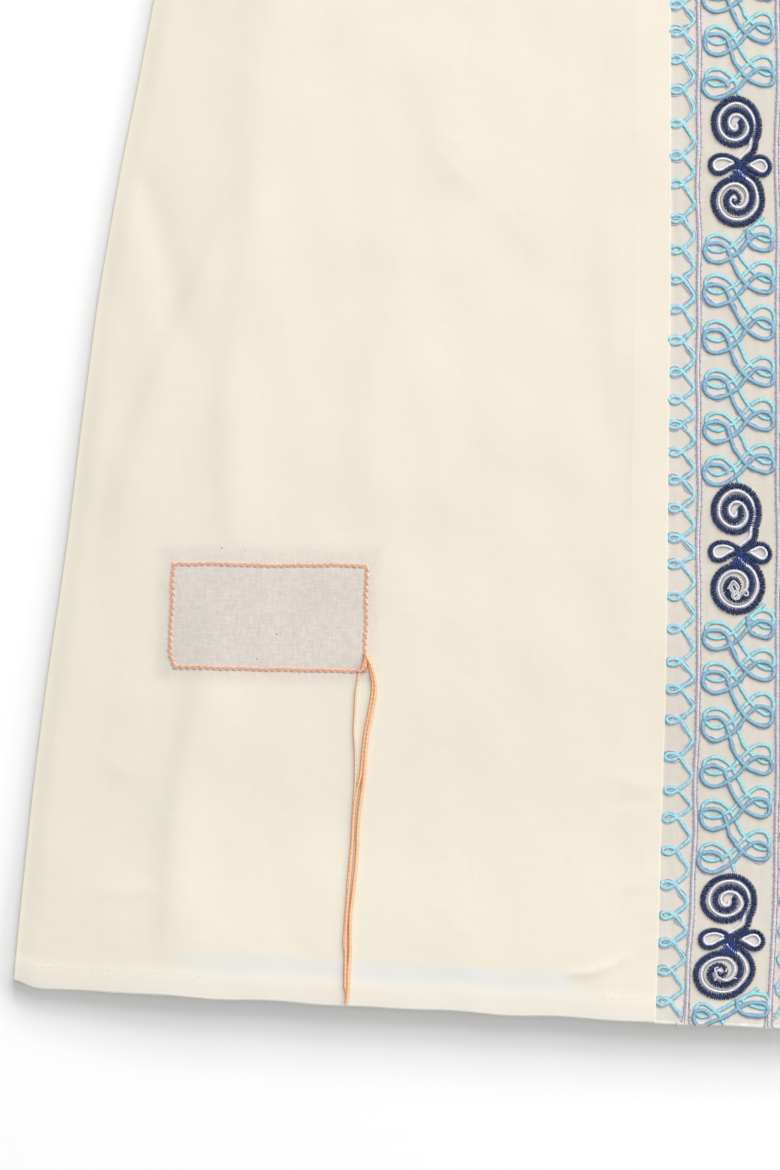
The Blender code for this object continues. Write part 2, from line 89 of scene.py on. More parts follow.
foldColumns = ("topX", "top", "lowX", "low", "topWidth", "lowWidth", "rise", "spread")
frontFolds = [dict(zip(foldColumns, row)) for row in (
    (-0.2050, 0.540, -0.2130, 0.330, 0.008, 0.007, 0.0003, 2.0),
    (-0.2200, 0.360, -0.2270, 0.215, 0.005, 0.005, 0.0003, 2.0),
    (-0.2280, 0.362, -0.2790, 0.222, 0.005, 0.007, 0.0009, 2.4),
    (-0.2690, 0.385, -0.2500, 0.305, 0.006, 0.009, -0.0005, 1.0),
    (-0.2370, 0.165, -0.2540, 0.040, 0.006, 0.006, 0.0007, 2.6),
    (-0.2880, 0.0610, -0.2630, 0.0630, 0.0030, 0.0030, 0.0002, 1.5),
    (-0.2730, 0.155, -0.2790, 0.112, 0.006, 0.007, 0.0003, 2.0),
    (-0.1430, 0.440, -0.1230, 0.380, 0.010, 0.010, 0.0004, 2.6),
    (-0.1260, 0.392, -0.0640, 0.334, 0.009, 0.008, 0.0002, 2.4),
    (-0.0450, 0.470, -0.0490, 0.262, 0.010, 0.006, 0.0004, 4.0),
    (-0.1660, 0.354, -0.1240, 0.347, 0.012, 0.010, 0.00032, 2.0),
    (-0.1530, 0.335, -0.1650, 0.232, 0.009, 0.010, 0.0005, 2.6),
    (-0.1150, 0.268, -0.0600, 0.250, 0.011, 0.012, 0.00025, 2.0),
    (-0.0480, 0.245, -0.0480, 0.165, 0.008, 0.007, 0.0004, 4.0),
    (-0.0600, 0.114, -0.0340, 0.109, 0.0020, 0.0012, 0.00018, 1.0),
    (-0.0500, 0.062, -0.0350, 0.071, 0.0016, 0.0016, 0.0003, 1.0),
    (-0.0730, 0.0245, -0.0560, 0.0290, 0.0016, 0.0016, 0.0003, 1.0),
    (-0.0720, 0.0235, -0.0340, 0.0420, 0.0020, 0.0018, 0.00028, 1.0),
    (-0.0560, 0.100, -0.0420, 0.103, 0.0020, 0.0020, -0.0003, 1.0),
    (-0.2250, 0.610, -0.1200, 0.730, 0.010, 0.012, 0.0018, 1.0),
    (-0.2200, 0.590, -0.1500, 0.640, 0.008, 0.010, 0.0012, 1.0),
    (-0.1250, 0.870, -0.0700, 0.740, 0.009, 0.014, 0.0009, 1.0),
    (-0.2050, 0.830, -0.1750, 0.700, 0.012, 0.012, -0.0009, 1.0),
    (0.2180, 0.540, 0.2290, 0.300, 0.011, 0.009, 0.0008, 1.0),
    (0.2300, 0.320, 0.2380, 0.170, 0.008, 0.010, 0.0006, 1.0),
    (0.2520, 0.330, 0.2830, 0.230, 0.007, 0.010, 0.0009, 1.0),
    (0.2470, 0.190, 0.2620, 0.060, 0.009, 0.009, 0.0009, 1.0),
    (0.1460, 0.560, 0.1540, 0.300, 0.012, 0.012, -0.0006, 1.0),
    (0.1180, 0.500, 0.1250, 0.310, 0.011, 0.012, 0.0005, 1.0),
    (0.1800, 0.240, 0.1730, 0.090, 0.013, 0.010, 0.0006, 1.0),
    (0.0620, 0.140, 0.0380, 0.128, 0.0020, 0.0012, 0.0004, 1.0),
    (0.0600, 0.052, 0.0370, 0.064, 0.0010, 0.0010, 0.0004, 1.0),
    (0.2220, 0.615, 0.1300, 0.715, 0.011, 0.012, 0.0018, 1.0),
    (0.2200, 0.585, 0.1560, 0.650, 0.008, 0.010, 0.0012, 1.0),
    (0.1220, 0.865, 0.0740, 0.750, 0.009, 0.013, 0.0009, 1.0),
    (0.2020, 0.820, 0.1800, 0.690, 0.011, 0.012, -0.0008, 1.0),
)]

# The long fold beyond which the cloth falls to the side seam: height, X on the left
sideFold = [(0.020, -0.2583), (0.076, -0.2583), (0.112, -0.2516), (0.148, -0.2439),
            (0.238, -0.2290), (0.346, -0.2214), (0.433, -0.2138), (0.520, -0.2080),
            (0.600, -0.2050)]


def ease(value):
    value = np.clip(value, 0.0, 1.0)
    return value * value * (3.0 - 2.0 * value)


def mix(low, high, share):
    return low + (high - low) * share


def halfWidthOne(height):   # the same smooth curve as the solids'
    height = min(max(height, sideSeam[0][0]), sideSeam[-1][0])
    index = 0
    while index < len(sideSeam) - 2 and height > sideSeam[index + 1][0]:
        index += 1
    below, above = sideSeam[index], sideSeam[index + 1]
    span = above[0] - below[0]
    share = (height - below[0]) / span
    slopes = []
    for middle in (index, index + 1):
        first = sideSeam[max(middle - 1, 0)]
        last = sideSeam[min(middle + 1, len(sideSeam) - 1)]
        slopes.append((last[1] - first[1]) / (last[0] - first[0]))
    lowLine = below[1] + slopes[0] * share * span
    highLine = above[1] - slopes[1] * (1.0 - share) * span
    return mix(lowLine, highLine, float(ease(share)))


seamHeights = np.linspace(0.0, cut["underarm"], 601)
seamWidths = np.array([halfWidthOne(height) for height in seamHeights])


def halfWidth(height):
    return np.interp(height, seamHeights, seamWidths)


def hemHeight(x):
    away = np.asarray(x) - cut["hemLowestX"]
    slope = cut["hemSlope"] * (np.hypot(away, cut["hemRounding"]) - cut["hemRounding"])
    fromCorner = sideSeam[0][1] - np.abs(x)
    waves = np.sin(2.0 * math.pi * x / 0.043 + 1.0) + np.sin(2.0 * math.pi * x / 0.067 + 2.0)
    slope = slope + cut["hemWave"] * (waves + 1.5)
    return slope + cut["hemCornerRise"] * ease(1.0 - fromCorner / cut["hemCornerWidth"])


def bandCentre(height):
    share = np.maximum(0.0, 1.0 - np.asarray(height) / cut["bandLeanHeight"])
    return -cut["bandLean"] * share * share


# How much further apart the fronts' edges lie at some heights
bandOpening = [(0.0, 0.0007), (0.040, 0.0014), (0.090, 0.0022), (0.150, 0.0017),
               (0.260, 0.0006), (0.340, -0.0005), (0.450, -0.0005)]


def bandEdge(height):   # half the width of the band that shows
    heights, widths = zip(*bandOpening)
    return cut["bandHalfWidth"] + np.interp(height, heights, widths)


def shoulderHeight(x):
    share = (cut["armholeX"] - np.abs(x)) / (cut["armholeX"] - cut["neckHalfWidth"])
    return mix(cut["shoulderEnd"], cut["neckHeight"], share)


def frontTop(x):
    inside = np.clip(1.0 - (np.asarray(x) / cut["neckHalfWidth"]) ** 2, 0.0, 1.0)
    neck = cut["neckHeight"] - cut["frontNeckDepth"] * np.sqrt(inside)
    return np.where(np.abs(x) >= cut["neckHalfWidth"], shoulderHeight(x), neck)


def backTop(x):
    scoop = 0.5 * (1.0 + np.cos(math.pi * np.asarray(x) / cut["neckHalfWidth"]))
    neck = cut["neckHeight"] - cut["backNeckDepth"] * scoop
    return np.where(np.abs(x) >= cut["neckHalfWidth"], shoulderHeight(x), neck)


def seamDistance(x, height):
    side = halfWidth(height) - np.abs(x)
    side = np.where(height > cut["underarm"],
                    np.hypot(side, height - cut["underarm"]), side)
    slope = (cut["neckHeight"] - cut["shoulderEnd"]) / (cut["armholeX"] - cut["neckHalfWidth"])
    shoulder = (shoulderHeight(x) - height) / math.hypot(1.0, slope)
    return np.maximum(0.0, np.minimum(side, shoulder))


def ridge(x, y, start, end, startWidth, endWidth, rise, spread=1.0):
    # spread makes the side on the left of the way from end to start wider
    runX, runY = end[0] - start[0], end[1] - start[1]
    length = math.hypot(runX, runY)
    along = ((x - start[0]) * runX + (y - start[1]) * runY) / length ** 2
    across = ((x - start[0]) * runY - (y - start[1]) * runX) / length
    bend = 0.10 * length * np.sin(along * math.pi) * (0.4 if rise > 0 else -0.3)
    width = mix(startWidth, endWidth, np.clip(along, 0.0, 1.0))
    width = width * np.where(across < bend, spread, 1.0)
    ends = ease(along * 3.0 + 0.5) * ease((1.0 - along) * 3.0 + 0.5)
    return rise * ends * np.exp(-((across - bend) / width) ** 2)


def ripples(x, y, size, seed):   # soft unevenness between -1 and 1, waves about size long
    random = np.random.RandomState(seed)
    total = np.zeros(np.broadcast(x, y).shape)
    waves = 9
    for _ in range(waves):
        angle = random.uniform(0.0, math.pi)
        number = 2.0 * math.pi / (size * random.uniform(0.6, 1.7))
        phase = random.uniform(0.0, 2.0 * math.pi)
        total += np.sin((x * math.cos(angle) + y * math.sin(angle)) * number + phase)
    return total / math.sqrt(waves)


# The patch inside the left front, held by a rectangle of stitches: corner X and height
patchCorners = {"topLeft": (-0.2534, 0.2088), "topRight": (-0.1665, 0.2079),
                "lowRight": (-0.1678, 0.1606), "lowLeft": (-0.2554, 0.1626)}
patchLook = {"margins": (0.0096, 0.0086, 0.0108, 0.0092),   # left, right, top, low
             "softness": 0.0040, "rise": 0.00018, "riseFrom": 0.0054, "riseWidth": 0.009,
             "stitchDip": 0.00004, "dipWidth": 0.0011, "gauge": 0.0004, "gap": 0.0002,
             "columns": 40, "rows": 24, "width": 0.087, "tall": 0.047,     # about, to the stitches
             # how the front shows it: the halo's share, its outline, and the stitched inside
             "halo": 0.70, "outline": 0.0006, "outlineWave": 0.006, "insideSoftness": 0.0006}


def patchDistance(x, height, margins=(0.0, 0.0, 0.0, 0.0)):   # inside it is positive
    top = mix(patchCorners["topLeft"][1], patchCorners["topRight"][1], 0.5)
    low = mix(patchCorners["lowLeft"][1], patchCorners["lowRight"][1], 0.5)
    share = (height - low) / (top - low)
    left = mix(patchCorners["lowLeft"][0], patchCorners["topLeft"][0], share)
    right = mix(patchCorners["lowRight"][0], patchCorners["topRight"][0], share)
    across = (x - left) / (right - left)
    topHere = mix(patchCorners["topLeft"][1], patchCorners["topRight"][1], across)
    lowHere = mix(patchCorners["lowLeft"][1], patchCorners["lowRight"][1], across)
    return np.minimum(np.minimum(x - left + margins[0], right - x + margins[1]),
                      np.minimum(topHere - height + margins[2], height - lowHere + margins[3]))


def lowDown(height, fade):   # 1 well below a height and 0 above it; fade: height, softness
    return ease((fade[0] - height) / fade[1])


def frontRoof(x, height):   # Z of the front's upper face
    x = np.asarray(x, dtype=float)
    height = np.asarray(height, dtype=float)
    aboveHem = height - hemHeight(x)
    roll = ease(seamDistance(x, height) / lie["edgeRoll"])
    lift = lie["hemLift"] * ease(1.0 - aboveHem / lie["hemLiftHeight"])
    seamLift = lie["seamShare"] * lift
    lift = (lift - seamLift) * ease(seamDistance(x, height) / lie["liftRoll"])
    foldX = np.interp(height, [row[0] for row in sideFold], [-row[1] for row in sideFold])
    inward = (foldX - np.abs(x)) / lie["sideSoftness"]
    ramp = lie["sideSoftness"] * (np.logaddexp(0.0, -inward))
    reach = np.maximum(halfWidth(height) - foldX, 0.02)
    side = lie["sideSlope"] * (reach - ramp) * lowDown(height, lie["sideFade"])
    drop = 1.0 - np.exp(-ramp / lie["sideDropWidth"])
    side = side - lie["sideDrop"] * drop * lowDown(height, lie["dropFade"])
    folds = np.zeros(x.shape)
    for fold in frontFolds:
        folds = folds + ridge(x, height, (fold["topX"], fold["top"]),
                              (fold["lowX"], fold["low"]), fold["topWidth"],
                              fold["lowWidth"], fold["rise"], fold["spread"])
    for rise, stretch, size, seed in lie["uneven"]:
        folds = folds + rise * ripples(x, stretch * height, size, seed)
    bandX = np.abs(x - bandCentre(height)) - bandEdge(height)
    facing = ease((cut["facing"] - bandX) / lie["facingSoftness"])
    facing = facing * ease(bandX / lie["bandDropWidth"] + 1.0)
    facing = lie["facingRise"] * facing * ease((height - lie["facingFrom"]) / lie["facingFade"])
    inside = patchDistance(x, height)
    patch = patchLook["rise"] * ease((inside + patchLook["riseFrom"]) / patchLook["riseWidth"])
    patch = patch - patchLook["stitchDip"] * np.exp(-(inside / patchLook["dipWidth"]) ** 2)
    turned = lie["turnUpZ"] * ease((cut["turnUp"] - aboveHem) / lie["turnSoftness"] + 0.6)
    seam = lie["sideSeamLift"] * lowDown(height, lie["seamFade"])
    low = lie["seamZ"] + turned + seam + seamLift
    return low + roll * (lie["loft"] - seam + lift + side + folds + facing + patch)


def world(x, height, z):
    return np.stack(np.broadcast_arrays(x, np.asarray(height) - cut["centreHeight"], z), -1)


def colour(red, green, blue):   # a colour of the photo, from 0 to 255, as a surface's own
    values = []
    for value in (red, green, blue):
        value = value / 255.0
        linear = value / 12.92 if value < 0.04045 else ((value + 0.055) / 1.055) ** 2.4
        values.append(min(linear * 0.905, 0.93))
    return (values[0], values[1], values[2], 1.0)


# Materials

def newMaterial(name, base, roughness, sheen=0.0, specular=0.2):
    material = bpy.data.materials.new(name)
    material.use_nodes = True
    nodes = material.node_tree.nodes
    shader = nodes["Principled BSDF"]
    shader.inputs["Base Color"].default_value = base
    shader.inputs["Roughness"].default_value = roughness
    shader.inputs["Sheen Weight"].default_value = sheen
    shader.inputs["Sheen Roughness"].default_value = 0.5
    shader.inputs["Specular IOR Level"].default_value = specular
    return material, nodes, material.node_tree.links, shader


def mathNode(nodes, links, operation, first, second=None, third=None):
    node = nodes.new("ShaderNodeMath")
    node.operation = operation
    for index, value in enumerate((first, second, third)):
        if value is None:
            continue
        if isinstance(value, (int, float)):
            node.inputs[index].default_value = value
        else:
            links.new(value, node.inputs[index])
    return node.outputs[0]


def mixColour(nodes, links, share, first, second):
    node = nodes.new("ShaderNodeMix")
    node.data_type = "RGBA"
    sockets = [(node.inputs[0], share), (node.inputs[6], first), (node.inputs[7], second)]
    for socket, value in sockets:
        if isinstance(value, bpy.types.NodeSocket):
            links.new(value, socket)
        else:
            socket.default_value = value
    return node.outputs[2]


def stretchedNoise(nodes, links, vector, sizeX, sizeY, offset=0.0):
    mapping = nodes.new("ShaderNodeMapping")
    mapping.inputs["Scale"].default_value = (1.0 / sizeX, 1.0 / sizeY, 1.0)
    mapping.inputs["Location"].default_value = (offset, offset * 0.37, 0.0)
    links.new(vector, mapping.inputs["Vector"])
    node = nodes.new("ShaderNodeTexNoise")
    node.inputs["Scale"].default_value = 1.0
    node.inputs["Detail"].default_value = 2.0
    links.new(mapping.outputs[0], node.inputs["Vector"])
    return node.outputs["Fac"]


def objectNoise(nodes, links, size, detail):
    place = nodes.new("ShaderNodeTexCoord")
    node = nodes.new("ShaderNodeTexNoise")
    node.inputs["Scale"].default_value = 1.0 / size
    node.inputs["Detail"].default_value = detail
    links.new(place.outputs["Object"], node.inputs["Vector"])
    return node.outputs["Fac"]


def attribute(nodes, name):
    node = nodes.new("ShaderNodeAttribute")
    node.attribute_name = name
    return node.outputs["Fac"]


def finishSurface(nodes, links, shader, base, relief, strength, distance):
    links.new(base, shader.inputs["Base Color"])
    bump = nodes.new("ShaderNodeBump")
    bump.inputs["Strength"].default_value = strength
    bump.inputs["Distance"].default_value = distance
    links.new(relief, bump.inputs["Height"])
    links.new(bump.outputs[0], shader.inputs["Normal"])


def smoothStep(nodes, links, value, low, high):
    node = nodes.new("ShaderNodeMapRange")
    node.interpolation_type = "SMOOTHSTEP"
    node.inputs["From Min"].default_value = low
    node.inputs["From Max"].default_value = high
    links.new(value, node.inputs["Value"])
    return node.outputs["Result"]


def plainWeave(nodes, links, vector, pitch):   # height of a plain weave, 0 to 1
    split = nodes.new("ShaderNodeSeparateXYZ")
    links.new(vector, split.inputs[0])
    waves = []
    for index, other in ((0, 1), (1, 0)):
        turn = mathNode(nodes, links, "MULTIPLY", split.outputs[index], 2.0 * math.pi / pitch)
        flip = mathNode(nodes, links, "MULTIPLY", split.outputs[other], math.pi / pitch)
        over = mathNode(nodes, links, "SINE", flip)
        waves.append(mathNode(nodes, links, "MULTIPLY", mathNode(nodes, links, "SINE", turn), over))
    total = mathNode(nodes, links, "ADD", waves[0], waves[1])
    return mathNode(nodes, links, "MULTIPLY_ADD", total, 0.25, 0.5)


clothLooks = {
    "voile": {"base": colour(237, 230, 213), "weave": 0.00048, "streak": 0.006, "bump": 0.06,
              "run": 0.030},
    "band": {"base": colour(221, 214, 203), "weave": 0.00055, "streak": 0.014, "bump": 0.10,
             "run": 0.020},
    "patch": {"base": colour(221, 213, 203), "weave": 0.00065, "streak": 0.037, "bump": 0.16,
              "run": 0.0055},
    "turnUp": colour(238, 234, 222), "bandTurnUp": colour(228, 224, 218),
    # a painted highlight: the hem's rounded edge is made lighter
    "paintedHemHighlight": colour(246, 244, 236),
    "turnShare": 0.55, "rim": (0.0022, 0.0008),     # the rim of painted highlight ends at this height, softly
    # the bluish zone: how it starts and ends, above the hem and from the side to the band
    "bluish": colour(231, 229, 223), "bluishCloud": (0.18, 0.46),
    "bluishStart": (0.0100, 0.0130), "bluishEnd": (0.0225, 0.0190),
    "bluishSide": (0.262, 0.240), "bluishBand": (0.066, 0.082),
    "fade": 0.0012,            # softness of a turned layer's edge
    "slub": (0.0009, 0.012), "relief": 0.00012,     # a thick thread's width and length
    "pinhole": (colour(232, 226, 218), colour(150, 142, 132)),   # pale ring, and a dark middle that is painted shade in the hole
    "pinholeReach": (0.0012, 0.0006),
}
streaks = {"thread": 0.0011, "cloud": (0.040, 0.055), "cloudShare": 0.8, "between": (0.95, 1.85),
           "darker": 3.0, "lighter": 2.0}


# Pinholes in and near the patch: X, height and size
pinholes = [(-0.2070, 0.1773, 1.1), (-0.1926, 0.1742, 0.8), (-0.2214, 0.1665, 0.8),
            (-0.2160, 0.1661, 1.0), (-0.2318, 0.2160, 0.9), (-0.2210, 0.2146, 0.6)]


def streakedBase(nodes, links, vector, look):   # warp and weft threads of uneven thickness
    base = look["base"]
    darker = 1.0 - streaks["darker"] * look["streak"]
    lighter = 1.0 + streaks["lighter"] * look["streak"]
    dark = tuple(value * darker for value in base[:3]) + (1.0,)
    light = tuple(min(1.0, value * lighter) for value in base[:3]) + (1.0,)
    warp = stretchedNoise(nodes, links, vector, streaks["thread"], look["run"])
    weft = stretchedNoise(nodes, links, vector, 0.87 * look["run"], streaks["thread"], offset=7.3)
    cloud = stretchedNoise(nodes, links, vector, *streaks["cloud"], offset=3.1)
    total = mathNode(nodes, links, "ADD", warp, weft)
    total = mathNode(nodes, links, "MULTIPLY_ADD", cloud, streaks["cloudShare"], total)
    share = smoothStep(nodes, links, total, *streaks["between"])
    return mixColour(nodes, links, share, dark, light)


def clothMaterial(name, look, places=True, patched=False):
    material, nodes, links, shader = newMaterial(name, look["base"], 0.92, sheen=0.12)
    weaveMap = nodes.new("ShaderNodeUVMap")
    weaveMap.uv_map = "weave"
    vector = weaveMap.outputs[0]
    base = streakedBase(nodes, links, vector, look)
    if places:
        edgeMap = nodes.new("ShaderNodeUVMap")
        edgeMap.uv_map = "edges"
        split = nodes.new("ShaderNodeSeparateXYZ")
        links.new(edgeMap.outputs[0], split.inputs[0])
        aboveHem = split.outputs[1]
        fade = clothLooks["fade"]
        cloud = stretchedNoise(nodes, links, vector, 0.045, 0.008, offset=1.7)
        bluish = smoothStep(nodes, links, cloud, *clothLooks["bluishCloud"]) if patched else 0.0
        place = nodes.new("ShaderNodeSeparateXYZ")
        links.new(vector, place.inputs[0])
        across = mathNode(nodes, links, "ABSOLUTE", place.outputs[0])
        for value, key in ((aboveHem, "bluishStart"), (aboveHem, "bluishEnd"),
                           (across, "bluishSide"), (across, "bluishBand")):
            share = smoothStep(nodes, links, value, *clothLooks[key])
            bluish = mathNode(nodes, links, "MULTIPLY", share, bluish)
        base = mixColour(nodes, links, bluish, base, clothLooks["bluish"])
        turned = smoothStep(nodes, links, aboveHem, cut["turnUp"] + fade, cut["turnUp"] - fade)
        turned = mathNode(nodes, links, "MULTIPLY", turned, clothLooks["turnShare"])
        turnColour = clothLooks["turnUp"] if patched else clothLooks["bandTurnUp"]
        base = mixColour(nodes, links, turned, base, turnColour)
        # painted highlight along the hem's rounded edge
        rim = smoothStep(nodes, links, aboveHem, *clothLooks["rim"])
        base = mixColour(nodes, links, rim, base, clothLooks["paintedHemHighlight"])
    thick, run = clothLooks["slub"]
    slubs = mathNode(nodes, links, "ADD", stretchedNoise(nodes, links, vector, thick, run, 4.4),
                     stretchedNoise(nodes, links, vector, run, thick, 9.1))
    if patched:
        under = streakedBase(nodes, links, vector, clothLooks["patch"])
        base = mixColour(nodes, links, attribute(nodes, "patch"), base, under)
        # each pinhole: a pale ring round a dark middle of painted shade in the hole
        for x, height, size in pinholes:
            apart = nodes.new("ShaderNodeVectorMath")
            apart.operation = "DISTANCE"
            links.new(vector, apart.inputs[0])
            apart.inputs[1].default_value = (x, height, 0.0)
            for shade, reach in zip(clothLooks["pinhole"], clothLooks["pinholeReach"]):
                near = smoothStep(nodes, links, apart.outputs["Value"], reach * size,
                                  0.3 * reach * size)
                base = mixColour(nodes, links, near, base, shade)
        relief = slubs   # without the weave: an early slip left it out, and the look was kept
    else:
        weave = plainWeave(nodes, links, vector, look["weave"])
        relief = mathNode(nodes, links, "ADD", weave, slubs)
    finishSurface(nodes, links, shader, base, relief, look["bump"], clothLooks["relief"])
    return material


# How a cord's colour is painted: the crown values between which its side, of painted shade, turns
# to body, and body to its core, a painted highlight
threadLook = {"paintedShadeToBody": (0.30, 0.82), "bodyToPaintedHighlight": (0.88, 0.99), "bump": 0.3,
              "bumpDistance": 0.0002, "wornSize": 0.0035, "wornFrom": (0.46, 0.66),
              "wornShare": 0.55}


def threadMaterial(name, colours, twist, sheen=0.2, paintedGrooveShadeShare=0.18, worn=None):
    # a cord's own attributes: along in metres, around from 0 to 1, crown 1 on its top
    paintedHighlight, body, side = [colour(*shade) for shade in colours]
    material, nodes, links, shader = newMaterial(name, body, 0.6, sheen=sheen, specular=0.3)
    along, around, crown = (attribute(nodes, fact) for fact in ("along", "around", "crown"))
    turns = mathNode(nodes, links, "DIVIDE", along, twist)
    turns = mathNode(nodes, links, "ADD", turns, around)
    wave = mathNode(nodes, links, "SINE", mathNode(nodes, links, "MULTIPLY", turns, 2.0 * math.pi))
    wave = mathNode(nodes, links, "MULTIPLY_ADD", wave, 0.5, 0.5)
    crown = mathNode(nodes, links, "ABSOLUTE", crown)
    # painted shade on the cord's sides and a painted highlight along its top
    share = smoothStep(nodes, links, crown, *threadLook["paintedShadeToBody"])
    base = mixColour(nodes, links, share, side, body)
    share = smoothStep(nodes, links, crown, *threadLook["bodyToPaintedHighlight"])
    base = mixColour(nodes, links, share, base, paintedHighlight)
    # painted shade in the grooves of the twist
    paintedGrooveShade = mathNode(nodes, links, "SUBTRACT", 1.0, wave)
    paintedGrooveShade = mathNode(nodes, links, "MULTIPLY", paintedGrooveShade, paintedGrooveShadeShare)
    base = mixColour(nodes, links, paintedGrooveShade, base, side)
    if worn:     # stretches of another hue, a few millimetres long
        share = objectNoise(nodes, links, threadLook["wornSize"], 2.0)
        share = smoothStep(nodes, links, share, *threadLook["wornFrom"])
        share = mathNode(nodes, links, "MULTIPLY", share, threadLook["wornShare"])
        base = mixColour(nodes, links, share, base, colour(*worn))
    finishSurface(nodes, links, shader, base, wave, threadLook["bump"], threadLook["bumpDistance"])
    return material


# fleck: the thread's own dark flecks; middle: where the painted shade at a stitch's ends gives way
stitchLook = {"fleck": (0.30, 0.66), "middle": (0.98, 0.55), "bump": 0.4, "bumpDistance": 0.00015}


def stitchMaterial(name, colours, size=0.0006, sheen=0.08, rim=(1.3, 1.2)):
    # a stitch's own attributes: tip 1 at its two ends along its row, rim 1 at those across it
    base, shade = [colour(*value) for value in colours]
    material, nodes, links, shader = newMaterial(name, base, 0.7, sheen=sheen, specular=0.2)
    fleck = objectNoise(nodes, links, size, 3.0)
    share = smoothStep(nodes, links, fleck, *stitchLook["fleck"])
    # painted shade: each stitch is darker towards its two ends, where stitches meet
    middle = smoothStep(nodes, links, attribute(nodes, "tip"), *stitchLook["middle"])
    share = mathNode(nodes, links, "MULTIPLY", share, middle)
    # and darker at its edges or along its middle across, as rim sets: painted shade; the flecks are
    # the thread's own darker colour
    centre = smoothStep(nodes, links, attribute(nodes, "rim"), *rim)
    share = mathNode(nodes, links, "MULTIPLY", share, centre)
    base = mixColour(nodes, links, share, shade, base)
    finishSurface(nodes, links, shader, base, fleck, stitchLook["bump"],
                  stitchLook["bumpDistance"])
    return material


voile = clothMaterial("creamVoile", clothLooks["voile"], patched=True)
plainVoile = clothMaterial("creamVoilePlain", clothLooks["voile"], places=False)
bandCloth = clothMaterial("greigeCloth", clothLooks["band"])
patchCloth = clothMaterial("patchCloth", clothLooks["patch"], places=False)
print("materials ready")


# Cloth sheets

def sheetObject(name, points, maps, material, thickness, closed=False, flip=False, masks=None):
    # points has a row for each height, and a column for each place across
    rows, columns = points.shape[:2]
    index = np.arange(rows * columns).reshape(rows, columns)
    if closed:
        index = np.concatenate([index, index[:, :1]], axis=1)
    corners = [index[:-1, :-1], index[:-1, 1:], index[1:, 1:], index[1:, :-1]]
    if flip:
        corners.reverse()
    faces = np.stack([corner.ravel() for corner in corners], -1)
    mesh = bpy.data.meshes.new(name)
    mesh.from_pydata(points.reshape(-1, 3).tolist(), [], faces.tolist())
    order = faces.ravel()
    for label, values in maps.items():
        layer = mesh.uv_layers.new(name=label)
        layer.data.foreach_set("uv", values.reshape(-1, 2)[order].astype(np.float32).ravel())
    for label, values in (masks or {}).items():
        layer = mesh.attributes.new(label, "FLOAT", "POINT")
        layer.data.foreach_set("value", values.astype(np.float32).ravel())
    mesh.materials.append(material)
    mesh.shade_smooth()
    piece = bpy.data.objects.new(name, mesh)
    bpy.context.scene.collection.objects.link(piece)
    wall = piece.modifiers.new("cloth", "SOLIDIFY")
    wall.thickness = thickness
    wall.offset = -1.0
    wall.use_even_offset = False
    return piece


def finished(piece, solid):   # no modifier is left, and it stands for a CAD solid
    graph = bpy.context.evaluated_depsgraph_get()
    mesh = bpy.data.meshes.new_from_object(piece.evaluated_get(graph),
                                           preserve_all_data_layers=True, depsgraph=graph)
    piece.modifiers.clear()
    piece.data = mesh
    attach(piece, "root")
    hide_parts(solid)
    return piece


# Rows that turn the hem: height above the hem's edge, and how far below the upper face
turnRows = [(0.0108, 0.0011), (0.0070, 0.0011), (0.0030, 0.0011), (0.0012, 0.0011),
            (0.0004, 0.0010), (0.0001, 0.0007), (0.0001, 0.0004), (0.0004, 0.0001),
            (0.0012, 0.0), (0.0030, 0.0), (0.0060, 0.0), (0.0085, 0.0)]
edgeSteps = (0.0, 0.0001, 0.0003, 0.0006, 0.0011, 0.0022)    # close rows at an edge


def turnDepth(height):   # how far each row of the sheet lies below its upper face
    depth = np.zeros((len(height), 1))
    depth[:len(turnRows), 0] = [row[1] for row in turnRows]
    return depth


frontGrid = {"shoulderColumns": 58, "neckColumns": 44, "rows": 280, "overlap": -0.0002,
             "crowding": 1.35,     # rows lie closer low down, where small creases show
             "width": 0.29,        # about, for the close columns at both edges
             "facingColumns": (-0.0009, -0.0004, 0.0001, 0.0006)}   # from the facing's edge


def frontColumns():   # shares of the way from the side seam to the band
    edge = cut["bandHalfWidth"] - frontGrid["overlap"]
    places = np.linspace(cut["armholeX"], cut["neckHalfWidth"],
                         frontGrid["shoulderColumns"] + 1)[:-1]
    lastAngle = math.asin(edge / cut["neckHalfWidth"])
    angles = np.linspace(math.pi / 2.0, lastAngle, frontGrid["neckColumns"] + 1)
    places = np.concatenate([places, cut["neckHalfWidth"] * np.sin(angles)])
    shares = (cut["armholeX"] - places) / (cut["armholeX"] - edge)
    fine = np.array(edgeSteps) / frontGrid["width"]
    fine = np.concatenate([fine, 1.0 - fine[1:5]])
    facing = 1.0 - (cut["facing"] + np.array(frontGrid["facingColumns"])) / frontGrid["width"]
    return np.unique(np.concatenate([shares, fine, facing]).round(6))


def heightRows(hem, top, rows, crowding=1.0):
    # a row of heights for each column, from the hem up, with close rows at the top edge
    shares = np.linspace(0.0, 1.0, rows)[:, None] ** crowding
    body = mix(hem + cut["turnUp"], top - 0.0040, shares)
    finish = top - np.array(edgeSteps[::-1])[:, None]
    turned = hem + np.array([row[0] for row in turnRows])[:, None]
    return np.concatenate([turned, body, finish], axis=0)


def hemOf(x):   # the hem below each column, once the columns have their places
    return hemHeight(x[0] if len(x) == 1 else x[8])


seamDrop = {"width": 0.0004, "backZ": 0.0006, "atArmhole": 0.0004, "armholeSoftness": 0.006}


def edgeDrop(x, height, roof):   # at a seam the cloth rounds down to the back
    distance = seamDistance(x, height)
    share = 1.0 - np.clip(1.0 - distance / seamDrop["width"], 0.0, 1.0) ** 3
    atArmhole = ease((height - cut["underarm"]) / seamDrop["armholeSoftness"]) * (
        distance < (shoulderHeight(x) - height) * 0.9)
    low = mix(seamDrop["backZ"], roof - seamDrop["atArmhole"], atArmhole)
    return mix(low, roof, share)


